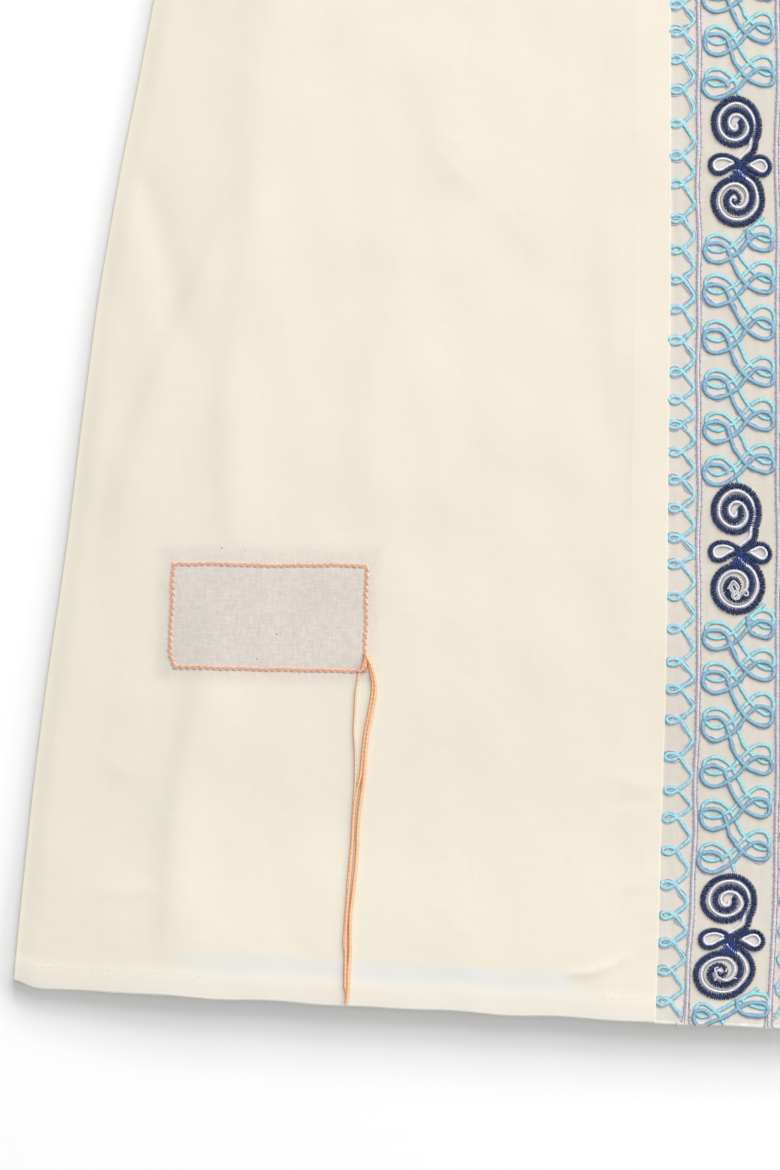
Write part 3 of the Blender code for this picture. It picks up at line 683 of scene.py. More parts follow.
def makeFront(name, side, label):
    edge = cut["bandHalfWidth"] - frontGrid["overlap"]
    shares = frontColumns()
    if side > 0:
        shares = shares[::-1]
    topX = cut["armholeX"] - shares * (cut["armholeX"] - edge)
    top = frontTop(topX)
    x = side * topX[None, :]
    for _ in range(4):
        height = heightRows(hemOf(x), top, frontGrid["rows"], frontGrid["crowding"])
        inner = side * (bandEdge(height) - frontGrid["overlap"]) + bandCentre(height)
        x = mix(side * halfWidth(height), inner, shares[None, :])
    roof = frontRoof(x, height)
    z = edgeDrop(x, height, roof) - turnDepth(height)
    bandX = np.abs(x - bandCentre(height)) - bandEdge(height) + frontGrid["overlap"]
    z = z - lie["bandDrop"] * ease(1.0 - bandX / lie["bandDropWidth"])
    maps = {"weave": np.stack([x, height], -1),
            "edges": np.stack([bandX, height - hemHeight(x)], -1)}
    uneven = patchLook["outline"] * ripples(x, height, patchLook["outlineWave"], 83)
    mask = ease((patchDistance(x, height, patchLook["margins"]) + uneven)
                / (2.0 * patchLook["softness"]))
    within = ease(patchDistance(x, height) / patchLook["insideSoftness"] + 0.5)
    mask = patchLook["halo"] * mask + (1.0 - patchLook["halo"]) * within
    piece = sheetObject(name, world(x, height, z), maps, voile, lie["gauge"],
                        masks={"patch": mask})
    return finished(piece, label)


leftFront = makeFront("leftFront", -1, "front_left")
rightFront = makeFront("rightFront", 1, "front_right")
print("fronts ready")

bandLook = {"columns": 50, "rows": 310, "below": 0.00045, "pucker": 0.00010, "halfWidth": 0.0350}


def bandRoof(bandX, height):   # bandX counts from the band's own centre line
    x = bandX + bandCentre(height)
    z = frontRoof(x, height) - bandLook["below"]
    return z + bandLook["pucker"] * ripples(x, height, 0.006, 11)


def makeBand():
    offsets = np.linspace(-1.0, 1.0, bandLook["columns"] + 1) * bandLook["halfWidth"]
    top = frontTop(offsets)
    height = heightRows(hemHeight(offsets), top, bandLook["rows"])
    x = offsets[None, :] + bandCentre(height)
    z = bandRoof(offsets[None, :], height) - turnDepth(height)
    maps = {"weave": np.stack([x, height], -1),
            "edges": np.stack([x, height - hemHeight(x)], -1)}
    piece = sheetObject("centreBand", world(x, height, z), maps, bandCloth, lie["gauge"])
    return finished(piece, "centre_band")


centreBand = makeBand()

backLook = {"columns": 50, "rows": 92, "z": 0.0006, "gauge": 0.0005, "inset": 0.0004}


def makeBack():
    shares = np.linspace(-1.0, 1.0, 2 * backLook["columns"] + 1)
    neckShares = cut["neckHalfWidth"] / cut["armholeX"] * np.array([-1.0, 1.0])
    shares = np.unique(np.concatenate([shares, neckShares]).round(6))
    topX = shares * cut["armholeX"]
    x = topX[None, :]
    for _ in range(4):
        height = heightRows(hemOf(x), backTop(topX), backLook["rows"])
        x = shares[None, :] * (halfWidth(height) - backLook["inset"])
    z = backLook["z"] + turnDepth(height) + 0.0 * x
    maps = {"weave": np.stack([x, height], -1)}
    piece = sheetObject("back", world(x, height, z), maps, plainVoile, backLook["gauge"])
    return finished(piece, "back_panel")


back = makeBack()

# Sleeves: along runs from the armhole to the cuff, across from the seam to the fold
sleeveLook = {
    "cuffLow": (0.601, 0.575), "cuffHigh": (0.645, 0.739), "gap": 0.0001,
    "length": 0.385, "width": 0.2, "gauge": 0.0003,
    "topColumns": 64, "underColumns": 22, "stations": 96,
    "underZ": 0.00035, "edgeZ": 0.0007,     # the under layer, and the upper one's edges
    "edgeRound": 0.0022, "edgeSteps": (0.0, 0.0002, 0.0006, 0.0013, 0.0022),
    "seamDip": 0.0004, "seamDipWidth": 0.0012, "uneven": 0.00016,
    # close rows, from the armhole and from the cuff, then up inside the cuff and set inwards
    "armholeRows": (0.0006, 0.0015, 0.003), "cuffRows": (0.0003, 0.0010), "cuffInset": 0.00008,
    "insideRows": (0.0001, 0.0006, 0.0030, 0.0108),
    "insideInsets": (0.0003, 0.0006, 0.0006, 0.0006),
}
creaseColumns = ("side", "along", "across", "endAlong", "endAcross", "width", "rise")
sleeveCreases = [dict(zip(creaseColumns, row)) for row in (
    (-1, 0.02, 0.10, 0.30, 0.55, 0.009, 0.0016),
    (-1, 0.05, 0.06, 0.34, 0.22, 0.008, 0.0012),
    (-1, 0.42, 0.12, 0.52, 0.80, 0.008, 0.0013),
    (-1, 0.47, 0.30, 0.60, 0.92, 0.007, -0.0008),
    (-1, 0.66, 0.20, 0.92, 0.35, 0.009, 0.0010),
    (-1, 0.20, 0.80, 0.40, 0.70, 0.010, 0.0008),
    (1, 0.03, 0.12, 0.26, 0.62, 0.009, 0.0015),
    (1, 0.04, 0.05, 0.36, 0.18, 0.008, 0.0012),
    (1, 0.45, 0.85, 0.56, 0.22, 0.008, 0.0014),
    (1, 0.50, 0.60, 0.66, 0.15, 0.007, -0.0008),
    (1, 0.70, 0.62, 0.94, 0.50, 0.009, 0.0010),
    (1, 0.22, 0.76, 0.38, 0.84, 0.010, 0.0007),
)]


def sleevePlace(along, across):
    startX = cut["armholeX"] + sleeveLook["gap"]
    lowX = mix(startX, sleeveLook["cuffLow"][0], along)
    low = mix(cut["underarm"], sleeveLook["cuffLow"][1], along)
    highX = mix(startX, sleeveLook["cuffHigh"][0], along)
    high = mix(cut["shoulderEnd"], sleeveLook["cuffHigh"][1], along)
    return mix(lowX, highX, across), mix(low, high, across)


def makeSleeve(name, side, label):
    edge = np.array(sleeveLook["edgeSteps"]) / sleeveLook["width"]
    topShares = np.unique(np.concatenate(
        [np.linspace(0.0, 1.0, sleeveLook["topColumns"]), edge, 1.0 - edge]).round(6))
    underShares = np.linspace(1.0, 0.0, sleeveLook["underColumns"])[1:-1]
    across = np.concatenate([topShares, underShares])
    onTop = np.concatenate([np.ones(len(topShares)), np.zeros(len(underShares))])
    length = sleeveLook["length"]
    alongRows = np.unique(np.concatenate(
        [np.linspace(0.0, 1.0, sleeveLook["stations"]),
         np.array(sleeveLook["armholeRows"]) / length,
         1.0 - np.array(sleeveLook["cuffRows"]) / length]).round(6))
    inner = 1.0 - np.array(sleeveLook["insideRows"]) / length
    along = np.concatenate([alongRows, inner])
    inset = np.concatenate([np.zeros(len(alongRows)), sleeveLook["insideInsets"]])
    inset[len(alongRows) - 1] = sleeveLook["cuffInset"]
    along, across = along[:, None], across[None, :]
    x, height = sleevePlace(along, across)
    lowX, low = sleevePlace(along, 0.0)
    highX, high = sleevePlace(along, 1.0)
    width = np.hypot(highX - lowX, high - low)
    distance = np.minimum(across, 1.0 - across) * width
    roll = ease(distance / lie["edgeRoll"])
    roof = lie["seamZ"] + roll * lie["loft"]
    for crease in sleeveCreases:
        if crease["side"] == side:
            start = sleevePlace(crease["along"], crease["across"])
            end = sleevePlace(crease["endAlong"], crease["endAcross"])
            roof = roof + roll * ridge(x, height, start, end, crease["width"], crease["width"],
                                       crease["rise"])
    roof = roof + roll * (sleeveLook["uneven"] * ripples(side * x, height, 0.034, 3))
    seam = np.exp(-(along * length / sleeveLook["seamDipWidth"]) ** 2)
    roof = roof - sleeveLook["seamDip"] * seam
    share = np.sqrt(np.clip(distance / sleeveLook["edgeRound"], 0.0, 1.0))
    z = np.where(onTop[None, :] > 0.5, mix(sleeveLook["edgeZ"], roof, share) - inset[:, None],
                 sleeveLook["underZ"] + inset[:, None])
    x, height, z = np.broadcast_arrays(side * x, height, z)
    maps = {"weave": np.stack([x, height], -1)}
    piece = sheetObject(name, world(x, height, z), maps, plainVoile, sleeveLook["gauge"],
                        closed=True, flip=side < 0)
    return finished(piece, label)


leftSleeve = makeSleeve("leftSleeve", -1, "sleeve_left")
rightSleeve = makeSleeve("rightSleeve", 1, "sleeve_right")
print("sleeves, band and back ready")


# Geometry Nodes: cords and rows of stitches along a path

def newTree(name, sockets):
    tree = bpy.data.node_groups.new(name, "GeometryNodeTree")
    tree.interface.new_socket("Geometry", in_out="INPUT", socket_type="NodeSocketGeometry")
    for label, kind, value in sockets:
        socket = tree.interface.new_socket(label, in_out="INPUT", socket_type=kind)
        if value is not None:
            socket.default_value = value
    tree.interface.new_socket("Geometry", in_out="OUTPUT", socket_type="NodeSocketGeometry")
    return tree, tree.nodes.new("NodeGroupInput"), tree.nodes.new("NodeGroupOutput")


def node(tree, kind, settings=None, **inputs):   # i0, i1 and so on stand for a socket's number
    made = tree.nodes.new(kind)
    for key, value in (settings or {}).items():
        setattr(made, key, value)
    for key, value in inputs.items():
        socket = made.inputs[int(key[1:]) if key[1:].isdigit() else key]
        if isinstance(value, bpy.types.NodeSocket):
            tree.links.new(value, socket)
        else:
            socket.default_value = value
    return made


def combined(tree, operation, first, second=0.0):
    return node(tree, "ShaderNodeMath", {"operation": operation}, i0=first, i1=second).outputs[0]


def stored(tree, geometry, name, value):   # the value kept on each point, for the material
    return node(tree, "GeometryNodeStoreNamedAttribute", {"data_type": "FLOAT", "domain": "POINT"},
                Geometry=geometry, Name=name, Value=value).outputs[0]


def between(tree, middle, reach, seed):   # a random number from middle - reach to middle + reach
    return node(tree, "FunctionNodeRandomValue", {"data_type": "FLOAT"},
                i2=combined(tree, "SUBTRACT", middle, reach),
                i3=combined(tree, "ADD", middle, reach), Seed=seed).outputs[1]


def ownPlace(tree):   # each point's own X, Y and Z
    place = node(tree, "GeometryNodeInputPosition")
    return node(tree, "ShaderNodeSeparateXYZ", i0=place.outputs[0]).outputs


def treeEnd(tree, geometry, material, result):
    plain = node(tree, "GeometryNodeRealizeInstances", i0=geometry)
    dressed = node(tree, "GeometryNodeSetMaterial", Geometry=plain.outputs[0], Material=material)
    tree.links.new(dressed.outputs[0], result.inputs[0])
    return tree


def makeCordTree():
    tree, group, result = newTree("cordAlongPath", [
        ("Width", "NodeSocketFloat", 0.0018), ("Height", "NodeSocketFloat", 0.0011),
        ("Step", "NodeSocketFloat", 0.0007), ("Sides", "NodeSocketInt", 8),
        ("Unevenness", "NodeSocketFloat", 0.08), ("Seed", "NodeSocketInt", 1),
        ("Material", "NodeSocketMaterial", None)])
    given = group.outputs
    path = node(tree, "GeometryNodeResampleCurve", {"mode": "LENGTH"},
                Curve=given["Geometry"], Length=given["Step"])
    measure = node(tree, "GeometryNodeSplineParameter")
    marked = stored(tree, path.outputs[0], "along", measure.outputs["Length"])
    upright = node(tree, "GeometryNodeSetCurveNormal", {"mode": "Z_UP"}, Curve=marked)
    ring = node(tree, "GeometryNodeCurvePrimitiveCircle", Resolution=given["Sides"], Radius=1.0)
    crowned = stored(tree, ring.outputs[0], "crown", ownPlace(tree)["Y"])
    around = node(tree, "GeometryNodeSplineParameter")
    turned = stored(tree, crowned, "around", around.outputs["Factor"])
    size = node(tree, "ShaderNodeCombineXYZ", i0=combined(tree, "MULTIPLY", given["Width"], 0.5),
                i1=combined(tree, "MULTIPLY", given["Height"], 0.5), i2=1.0)
    profile = node(tree, "GeometryNodeTransform", Geometry=turned, Scale=size.outputs[0])
    swell = between(tree, 1.0, given["Unevenness"], given["Seed"])
    body = node(tree, "GeometryNodeCurveToMesh", i0=upright.outputs[0], i1=profile.outputs[0],
                i2=swell)
    body.inputs["Fill Caps"].default_value = True
    return treeEnd(tree, body.outputs[0], given["Material"], result)


def makeStitchTree():
    tree, group, result = newTree("stitchesAlongPath", [
        ("Pitch", "NodeSocketFloat", 0.001), ("Length", "NodeSocketFloat", 0.001),
        ("Breadth", "NodeSocketFloat", 0.001), ("Height", "NodeSocketFloat", 0.001),
        ("Lean", "NodeSocketFloat", 0.0), ("Scatter", "NodeSocketFloat", 0.1),
        ("Segments", "NodeSocketInt", 8), ("Rings", "NodeSocketInt", 5),
        ("Seed", "NodeSocketInt", 1), ("Material", "NodeSocketMaterial", None)])
    given = group.outputs
    path = node(tree, "GeometryNodeResampleCurve", {"mode": "LENGTH"},
                Curve=given["Geometry"], Length=given["Pitch"])
    tangent = node(tree, "GeometryNodeInputTangent")
    turned = node(tree, "FunctionNodeAxesToRotation", {"primary_axis": "Z", "secondary_axis": "X"},
                  i0=(0.0, 0.0, 1.0), i1=tangent.outputs[0])
    lean = between(tree, given["Lean"], given["Scatter"], given["Seed"])
    spin = node(tree, "ShaderNodeCombineXYZ", i0=0.0, i1=0.0, i2=lean)
    spun = node(tree, "FunctionNodeEulerToRotation", i0=spin.outputs[0])
    facing = node(tree, "FunctionNodeRotateRotation", {"rotation_space": "LOCAL"},
                  i0=turned.outputs[0], i1=spun.outputs[0])
    long, broad, high = [combined(tree, "MULTIPLY", given[key], 0.5)
                         for key in ("Length", "Breadth", "Height")]
    size = node(tree, "ShaderNodeCombineXYZ", i0=long, i1=broad, i2=high)
    bead = node(tree, "GeometryNodeMeshUVSphere", Segments=given["Segments"],
                Rings=given["Rings"], Radius=1.0)
    place = ownPlace(tree)
    tipped = stored(tree, bead.outputs["Mesh"], "tip", combined(tree, "ABSOLUTE", place["X"]))
    rimmed = stored(tree, tipped, "rim", combined(tree, "ABSOLUTE", place["Y"]))
    placed = node(tree, "GeometryNodeInstanceOnPoints", Points=path.outputs[0], Instance=rimmed,
                  Rotation=facing.outputs[0], Scale=size.outputs[0])
    return treeEnd(tree, placed.outputs[0], given["Material"], result)


cordTree = makeCordTree()
stitchTree = makeStitchTree()


def pathObject(name, lines):
    curve = bpy.data.curves.new(name, "CURVE")
    curve.dimensions = "3D"
    for line in lines:
        spline = curve.splines.new("POLY")
        spline.points.add(len(line) - 1)
        flat = np.concatenate([np.asarray(line), np.ones((len(line), 1))], axis=1)
        spline.points.foreach_set("co", flat.astype(np.float32).ravel())
    guide = bpy.data.objects.new(name + "Path", curve)
    bpy.context.scene.collection.objects.link(guide)
    return guide


def grown(name, lines, tree, values, material):   # the tree's result as a plain mesh
    values = dict(values, Material=material)
    guide = pathObject(name, lines)
    modifier = guide.modifiers.new("grow", "NODES")
    modifier.node_group = tree
    for item in tree.interface.items_tree:
        if item.item_type == "SOCKET" and item.in_out == "INPUT" and item.name in values:
            modifier[item.identifier] = values[item.name]
    graph = bpy.context.evaluated_depsgraph_get()
    mesh = bpy.data.meshes.new_from_object(guide.evaluated_get(graph),
                                           preserve_all_data_layers=True, depsgraph=graph)
    mesh.name = name
    mesh.shade_smooth()
    bpy.data.objects.remove(guide, do_unlink=True)
    piece = bpy.data.objects.new(name, mesh)
    bpy.context.scene.collection.objects.link(piece)
    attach(piece, "root")
    return piece


def joined(name, pieces):   # one piece from several of one kind
    with bpy.context.temp_override(active_object=pieces[0], selected_editable_objects=pieces):
        bpy.ops.object.join()
    pieces[0].name = name
    pieces[0].data.name = name
    return pieces[0]


def smoothLine(points, step):   # a Catmull-Rom curve through the points, then evenly spaced
    points = np.asarray(points, dtype=float)
    before = np.vstack([points[:1], points[:-1]])[:-1]
    start, end = points[:-1], points[1:]
    after = np.vstack([points[1:], points[-1:]])[1:]
    parts = []
    for share in np.linspace(0.0, 1.0, 9)[:-1]:
        into, out = (end - before) * 0.5, (after - start) * 0.5
        square, cube = share ** 2, share ** 3
        parts.append(start * (2 * cube - 3 * square + 1) + into * (cube - 2 * square + share)
                     + end * (3 * square - 2 * cube) + out * (cube - square))
    line = np.stack(parts, 1).reshape(-1, points.shape[1])
    line = np.vstack([line, points[-1:]])
    lengths = np.concatenate([[0.0], np.cumsum(np.linalg.norm(np.diff(line, axis=0), axis=1))])
    count = max(2, int(lengths[-1] / step) + 1)
    marks = np.linspace(0.0, lengths[-1], count)
    return np.stack([np.interp(marks, lengths, line[:, axis])
                     for axis in range(points.shape[1])], -1)


def onBand(line, lift):   # the runs of a flat line that lie on the band's cloth
    bandX, height = line[:, 0], line[:, 1]
    low = hemHeight(bandX + bandCentre(height)) + 0.0006
    kept = (height > low) & (height < frontTop(bandX) - 0.0015)
    places = world(bandX + bandCentre(height), height, bandRoof(bandX, height) + lift)
    runs = np.split(np.arange(len(line)), np.flatnonzero(np.diff(kept.astype(int))) + 1)
    return [places[run] for run in runs if kept[run[0]] and len(run) > 3]


# Threads and cords: core of painted highlight, body, and side of painted shade of each, or a
# stitch's light colour and its dark one, which gives its own flecks and painted shade
threads = {
    "cyan": ((190, 242, 246), (152, 212, 220), (112, 170, 184)), "cyanWorn": (142, 192, 206),
    "steel": ((154, 204, 220), (130, 178, 198), (96, 142, 166)), "steelWorn": (142, 168, 196),
    "white": ((244, 246, 254), (228, 230, 242), (176, 178, 202)),
    "grey": ((184, 180, 184), (172, 168, 174), (150, 146, 156)),
    "pale": ((224, 223, 230), (213, 211, 219), (172, 168, 180)),
    "lavender": ((224, 222, 242), (208, 206, 230), (186, 184, 212)),
    "mauve": ((186, 180, 188), (175, 168, 177), (152, 144, 158)),
    "orange": ((255, 212, 164), (248, 190, 144), (222, 154, 116)),
    "strand": ((252, 218, 188), (234, 198, 164), (220, 182, 148)),
    "knot": ((242, 190, 148), (230, 168, 126), (206, 142, 104)),
    "binding": ((238, 231, 212), (236, 229, 210), (224, 215, 192)),
    "navyStitch": ((66, 86, 140), (0, 4, 32)), "blueStitch": ((70, 86, 158), (26, 36, 100)),
    "mauveStitch": ((176, 170, 190), (146, 138, 162)),
    "orangeStitch": ((247, 216, 196), (214, 162, 136)),
    "creamStitch": ((239, 233, 216), (230, 223, 205)),
}
cyanCord = threadMaterial("cyanCord", threads["cyan"], 0.0022, worn=threads["cyanWorn"])
steelCord = threadMaterial("steelBlueCord", threads["steel"], 0.0022, worn=threads["steelWorn"])
whiteCord = threadMaterial("whiteCord", threads["white"], 0.0016)
paleCord = threadMaterial("paleLavenderCord", threads["pale"], 0.0018)
mauveThread = threadMaterial("mauveThread", threads["mauve"], 0.0014)
orangeThread = threadMaterial("orangeThread", threads["orange"], 0.0020, sheen=0.3)
strandThread = threadMaterial("orangeStrand", threads["strand"], 0.0020, sheen=0.3)
knotThread = threadMaterial("orangeKnot", threads["knot"], 0.0020)
greyThread = threadMaterial("greyThread", threads["grey"], 0.0012)
lavenderThread = threadMaterial("lavenderThread", threads["lavender"], 0.0014)
bindingCloth = threadMaterial("bindingCloth", threads["binding"], 0.0060, paintedGrooveShadeShare=0.2)
# navy stitches: painted shade darkens each stitch's edges, its middle stays lighter
navyStitch = stitchMaterial("navyThread", threads["navyStitch"], rim=(0.85, 0.35), sheen=0.02)
blueStitch = stitchMaterial("blueThread", threads["blueStitch"])
mauveStitch = stitchMaterial("mauveStitch", threads["mauveStitch"])
# orange stitches: painted shade darkens each stitch's middle across, its edges stay pale
orangeStitch = stitchMaterial("orangeStitch", threads["orangeStitch"], size=0.0005,
                              rim=(0.15, 0.62))
creamStitch = stitchMaterial("creamStitch", threads["creamStitch"])


# Embroidery on the band. The right edge line and zigzag lie further out, most of all low down.
rightSide = {"spread": 0.0010, "lowSpread": 0.0017, "lowFade": (0.15, 0.09)}


def rightSpread(height):
    return rightSide["spread"] + rightSide["lowSpread"] * lowDown(height, rightSide["lowFade"])


zigzag = {
    "firstLoop": 0.0124, "jitter": 0.0003, "loopX": 0.0275, "vertexX": 0.0195, "reach": 0.0080,
    "chartStep": 0.015, "growth": (0.93, 1.07), "wobble": 0.12, "lift": 0.00015, "seed": 21,
    "outermost": 0.0297, "rightNarrowing": 60.0, "withBand": 0.55,
    "cord": {"Width": 0.0018, "Height": 0.0006, "Step": 0.0008, "Unevenness": 0.10, "Seed": 5},
    # millimetres from loop to loop, from the hem up, then the same again
    "steps": [13.5, 12.7, 12.2, 14.0, 15.0, 15.0, 12.2, 15.0, 17.0, 13.7, 11.9, 14.8, 14.6, 14.5,
              12.2, 13.4, 12.2, 12.9, 12.3, 10.8, 12.4, 14.5, 14.3, 13.0, 13.6, 13.9, 15.4, 13.0,
              14.4, 15.2],
    # one repeat from vertex to vertex, in millimetres from the loop's middle: out, up
    "chart": [(8.0, 6.6), (7.4, 4.9), (6.0, 3.2), (4.3, 1.6), (2.6, -0.1), (0.8, -1.3),
              (-1.3, -1.45), (-2.8, -0.5), (-2.8, 0.85), (-1.0, 1.6), (1.2, 1.3), (3.2, -0.2),
              (4.8, -2.8), (6.5, -5.3), (7.8, -7.4)],
}


def zigzagLine(side):
    random = np.random.RandomState(zigzag["seed"] + side)
    middles, height = [], zigzag["firstLoop"]
    while height < cut["neckHeight"] - cut["frontNeckDepth"] + 0.03:
        middles.insert(0, height + random.uniform(-1.0, 1.0) * zigzag["jitter"])
        height += zigzag["steps"][(len(middles) - 1) % len(zigzag["steps"])] * 0.001
    spaces = -np.diff(middles) / zigzag["chartStep"]
    points = []
    for index, middle in enumerate(middles):
        above = spaces[max(index - 1, 0)]
        below = spaces[min(index, len(spaces) - 1)]
        away = zigzag["loopX"] + zigzag["withBand"] * (bandEdge(middle) - cut["bandHalfWidth"])
        reach = (away - zigzag["vertexX"]) / zigzag["reach"]
        grow = random.uniform(*zigzag["growth"])
        for out, up in zigzag["chart"]:
            wobble = random.uniform(-zigzag["wobble"], zigzag["wobble"], 2)
            # the legs reach from vertex to vertex, and the loop between them has its own size
            wide = reach if out > 3.0 else grow
            tall = above if up > 2.0 else below if up < -1.5 else grow
            points.append(((out * wide + wobble[0]) * 0.001 - away,
                           middle + (up * tall + wobble[1]) * 0.001))
    line = smoothLine(points, 0.0006)
    if side > 0:
        spread = rightSpread(line[:, 1])
        inward = zigzag["outermost"] + line[:, 0]
        inward = inward * (1.0 - zigzag["rightNarrowing"] * spread)
        line[:, 0] = zigzag["outermost"] + 0.5 * spread - inward
    return line


grown("loopedZigzag", [
    run for side in (-1, 1) for run in onBand(zigzagLine(side), zigzag["lift"])],
    cordTree, zigzag["cord"], cyanCord)

edgeLine = {
    "bandX": 0.0173, "sideX": 0.00088, "stitchX": 1.25, "lift": 0.00012, "sideLift": 0.00015,
    "stitchLift": 0.0001, "step": 0.0012, "wobble": 0.00030,
    "middle": {"Width": 0.0015, "Height": 0.0005, "Step": 0.0013, "Unevenness": 0.08, "Seed": 6},
    "sides": {"Width": 0.0005, "Height": 0.0005, "Step": 0.0011, "Unevenness": 0.2, "Seed": 7},
    "stitches": {"Pitch": 0.0031, "Length": 0.0013, "Breadth": 0.0004, "Height": 0.0004,
                 "Lean": 0.9, "Scatter": 0.4, "Segments": 6, "Rings": 4, "Seed": 18},
}


def edgeLinePath(side, offset):
    height = np.arange(0.0, 0.80, edgeLine["step"])
    wobble = edgeLine["wobble"] * ripples(height, 0.0 * height, 0.045, 31 + side)
    split = offset * 0.9 * ease(1.0 - height / 0.016)     # the lines part at the hem
    place = side * edgeLine["bandX"] + (rightSpread(height) if side > 0 else 0.0)
    return np.stack([place + offset + split + wobble, height], -1)


def edgeLines(offset, lift):   # each side's line twice, to its left and to its right
    return [run for side in (-1, 1) for way in (-1, 1)
            for run in onBand(edgeLinePath(side, way * offset), lift)]


joined("edgeLine", [
    grown("paleLine", edgeLines(0.0, edgeLine["lift"])[::2], cordTree, edgeLine["middle"],
          paleCord),
    grown("mauveLines", edgeLines(edgeLine["sideX"], edgeLine["sideLift"]), cordTree,
          edgeLine["sides"], mauveThread),
    grown("mauveStitches", edgeLines(edgeLine["sideX"] * edgeLine["stitchX"],
                                     edgeLine["stitchLift"]),
          stitchTree, edgeLine["stitches"], mauveStitch)])

# The double scrolls, in millimetres from the scroll's own middle
scroll = {
    "first": 0.041, "period": 0.174, "count": 5,
    # each spiral: degrees turned from its right side, and radius
    "upperMiddle": (-0.6, 18.0),
    "upper": [(-40, 12.0), (-10, 10.1), (45, 10.4), (90, 11.2), (180, 10.1), (270, 10.2),
              (325, 8.5), (375, 6.3), (450, 5.9), (540, 5.3), (620, 5.6), (655, 4.2), (690, 2.6),
              (755, 2.0)],
    "upperTail": [(7.2, 4.9), (2.0, 0.0), (-0.4, -2.2)],
    "lowerMiddle": (0.0, -16.7),
    "lower": [(-69, 13.2), (-46, 12.4), (-17, 11.3), (40, 11.1), (90, 11.1), (180, 11.1),
              (235, 10.3), (270, 9.6), (315, 7.9), (360, 6.6), (450, 5.6), (540, 5.4), (605, 4.2)],
    "lowerTail": [(1.9, -1.4), (-0.6, 1.0)],
    # the lower spiral's thin inner end, from that spiral's middle
    "innerEnd": [(-2.4, 4.0), (-0.6, 3.6), (0.7, 2.3), (1.2, 0.4), (0.3, -1.2), (-1.3, -1.4),
                 (-2.2, -0.4)],
    "leftLeaf": [(0.6, 0.5), (-2.3, 2.6), (-5.4, 3.6), (-9.0, 3.4), (-11.8, 1.5), (-12.4, -1.2),
                 (-11.3, -3.8), (-9.0, -4.9), (-6.1, -4.3), (-3.3, -2.5), (0.7, -0.8)],
    "rightLeaf": [(3.0, -0.2), (6.8, 1.9), (9.5, 3.0), (12.3, 2.5), (14.3, 0.2), (14.7, -2.5),
                  (13.0, -5.0), (10.3, -5.5), (7.0, -3.7), (3.0, -1.1)],
    "bridges": [[(-2.6, -6.4), (0.2, -5.6), (3.4, -6.6)], [(-1.4, -4.6), (0.8, -3.9), (3.0, -4.6)],
                [(0.4, -2.6), (1.6, -2.0), (2.8, -2.6)]],
    "grow": [(1.05, 0.95), (1.0, 1.0), (1.0, 1.0), (1.01, 0.99), (1.0, 1.01)],
    "lowestTurns": (1.08, -1.0, 0.04),   # the lowest spirals are wider and lie to the left
    "whiteOffset": 2.3, "leafWhiteOffset": 1.7, "greyOffset": 3.3, "waveSize": 18.0, "wave": 0.2,
    "lifts": {"navy": 0.0002, "inner": 0.00015, "white": 0.00018, "grey": 0.00008,
              "leaf": 0.0003, "bridge": 0.0001},
    "stitches": {"Pitch": 0.00088, "Length": 0.00096, "Lean": 0.30, "Scatter": 0.16,
                 "Segments": 7, "Rings": 5},
    # breadth, height and seed of each kind's stitches
    "turnSize": (0.0034, 0.0013, 8), "leafSize": (0.0025, 0.0011, 9),
    "bridgeSize": (0.0034, 0.0013, 10),
    "white": {"Width": 0.0012, "Height": 0.0008, "Step": 0.0006, "Unevenness": 0.12, "Seed": 9},
    "grey": {"Width": 0.0005, "Height": 0.0004, "Step": 0.0008, "Unevenness": 0.15, "Seed": 12},
}


def spiral(middle, turns, way):   # way is 1 anticlockwise and -1 clockwise
    turns = np.array(turns, dtype=float)
    marks = np.arange(turns[0, 0], turns[-1, 0], 9.0)
    radius = np.interp(marks, turns[:, 0], turns[:, 1])
    kernel = np.hanning(9) / np.hanning(9).sum()
    radius = np.convolve(np.pad(radius, 4, mode="edge"), kernel, mode="valid")
    angle = np.radians(marks) * way
    return np.stack([middle[0] + radius * np.cos(angle), middle[1] + radius * np.sin(angle)], -1)


def beside(line, offset):   # the same line moved to its left by offset
    run = np.gradient(line, axis=0)
    run = run / np.linalg.norm(run, axis=1)[:, None]
    return line + offset * np.stack([-run[:, 1], run[:, 0]], -1)


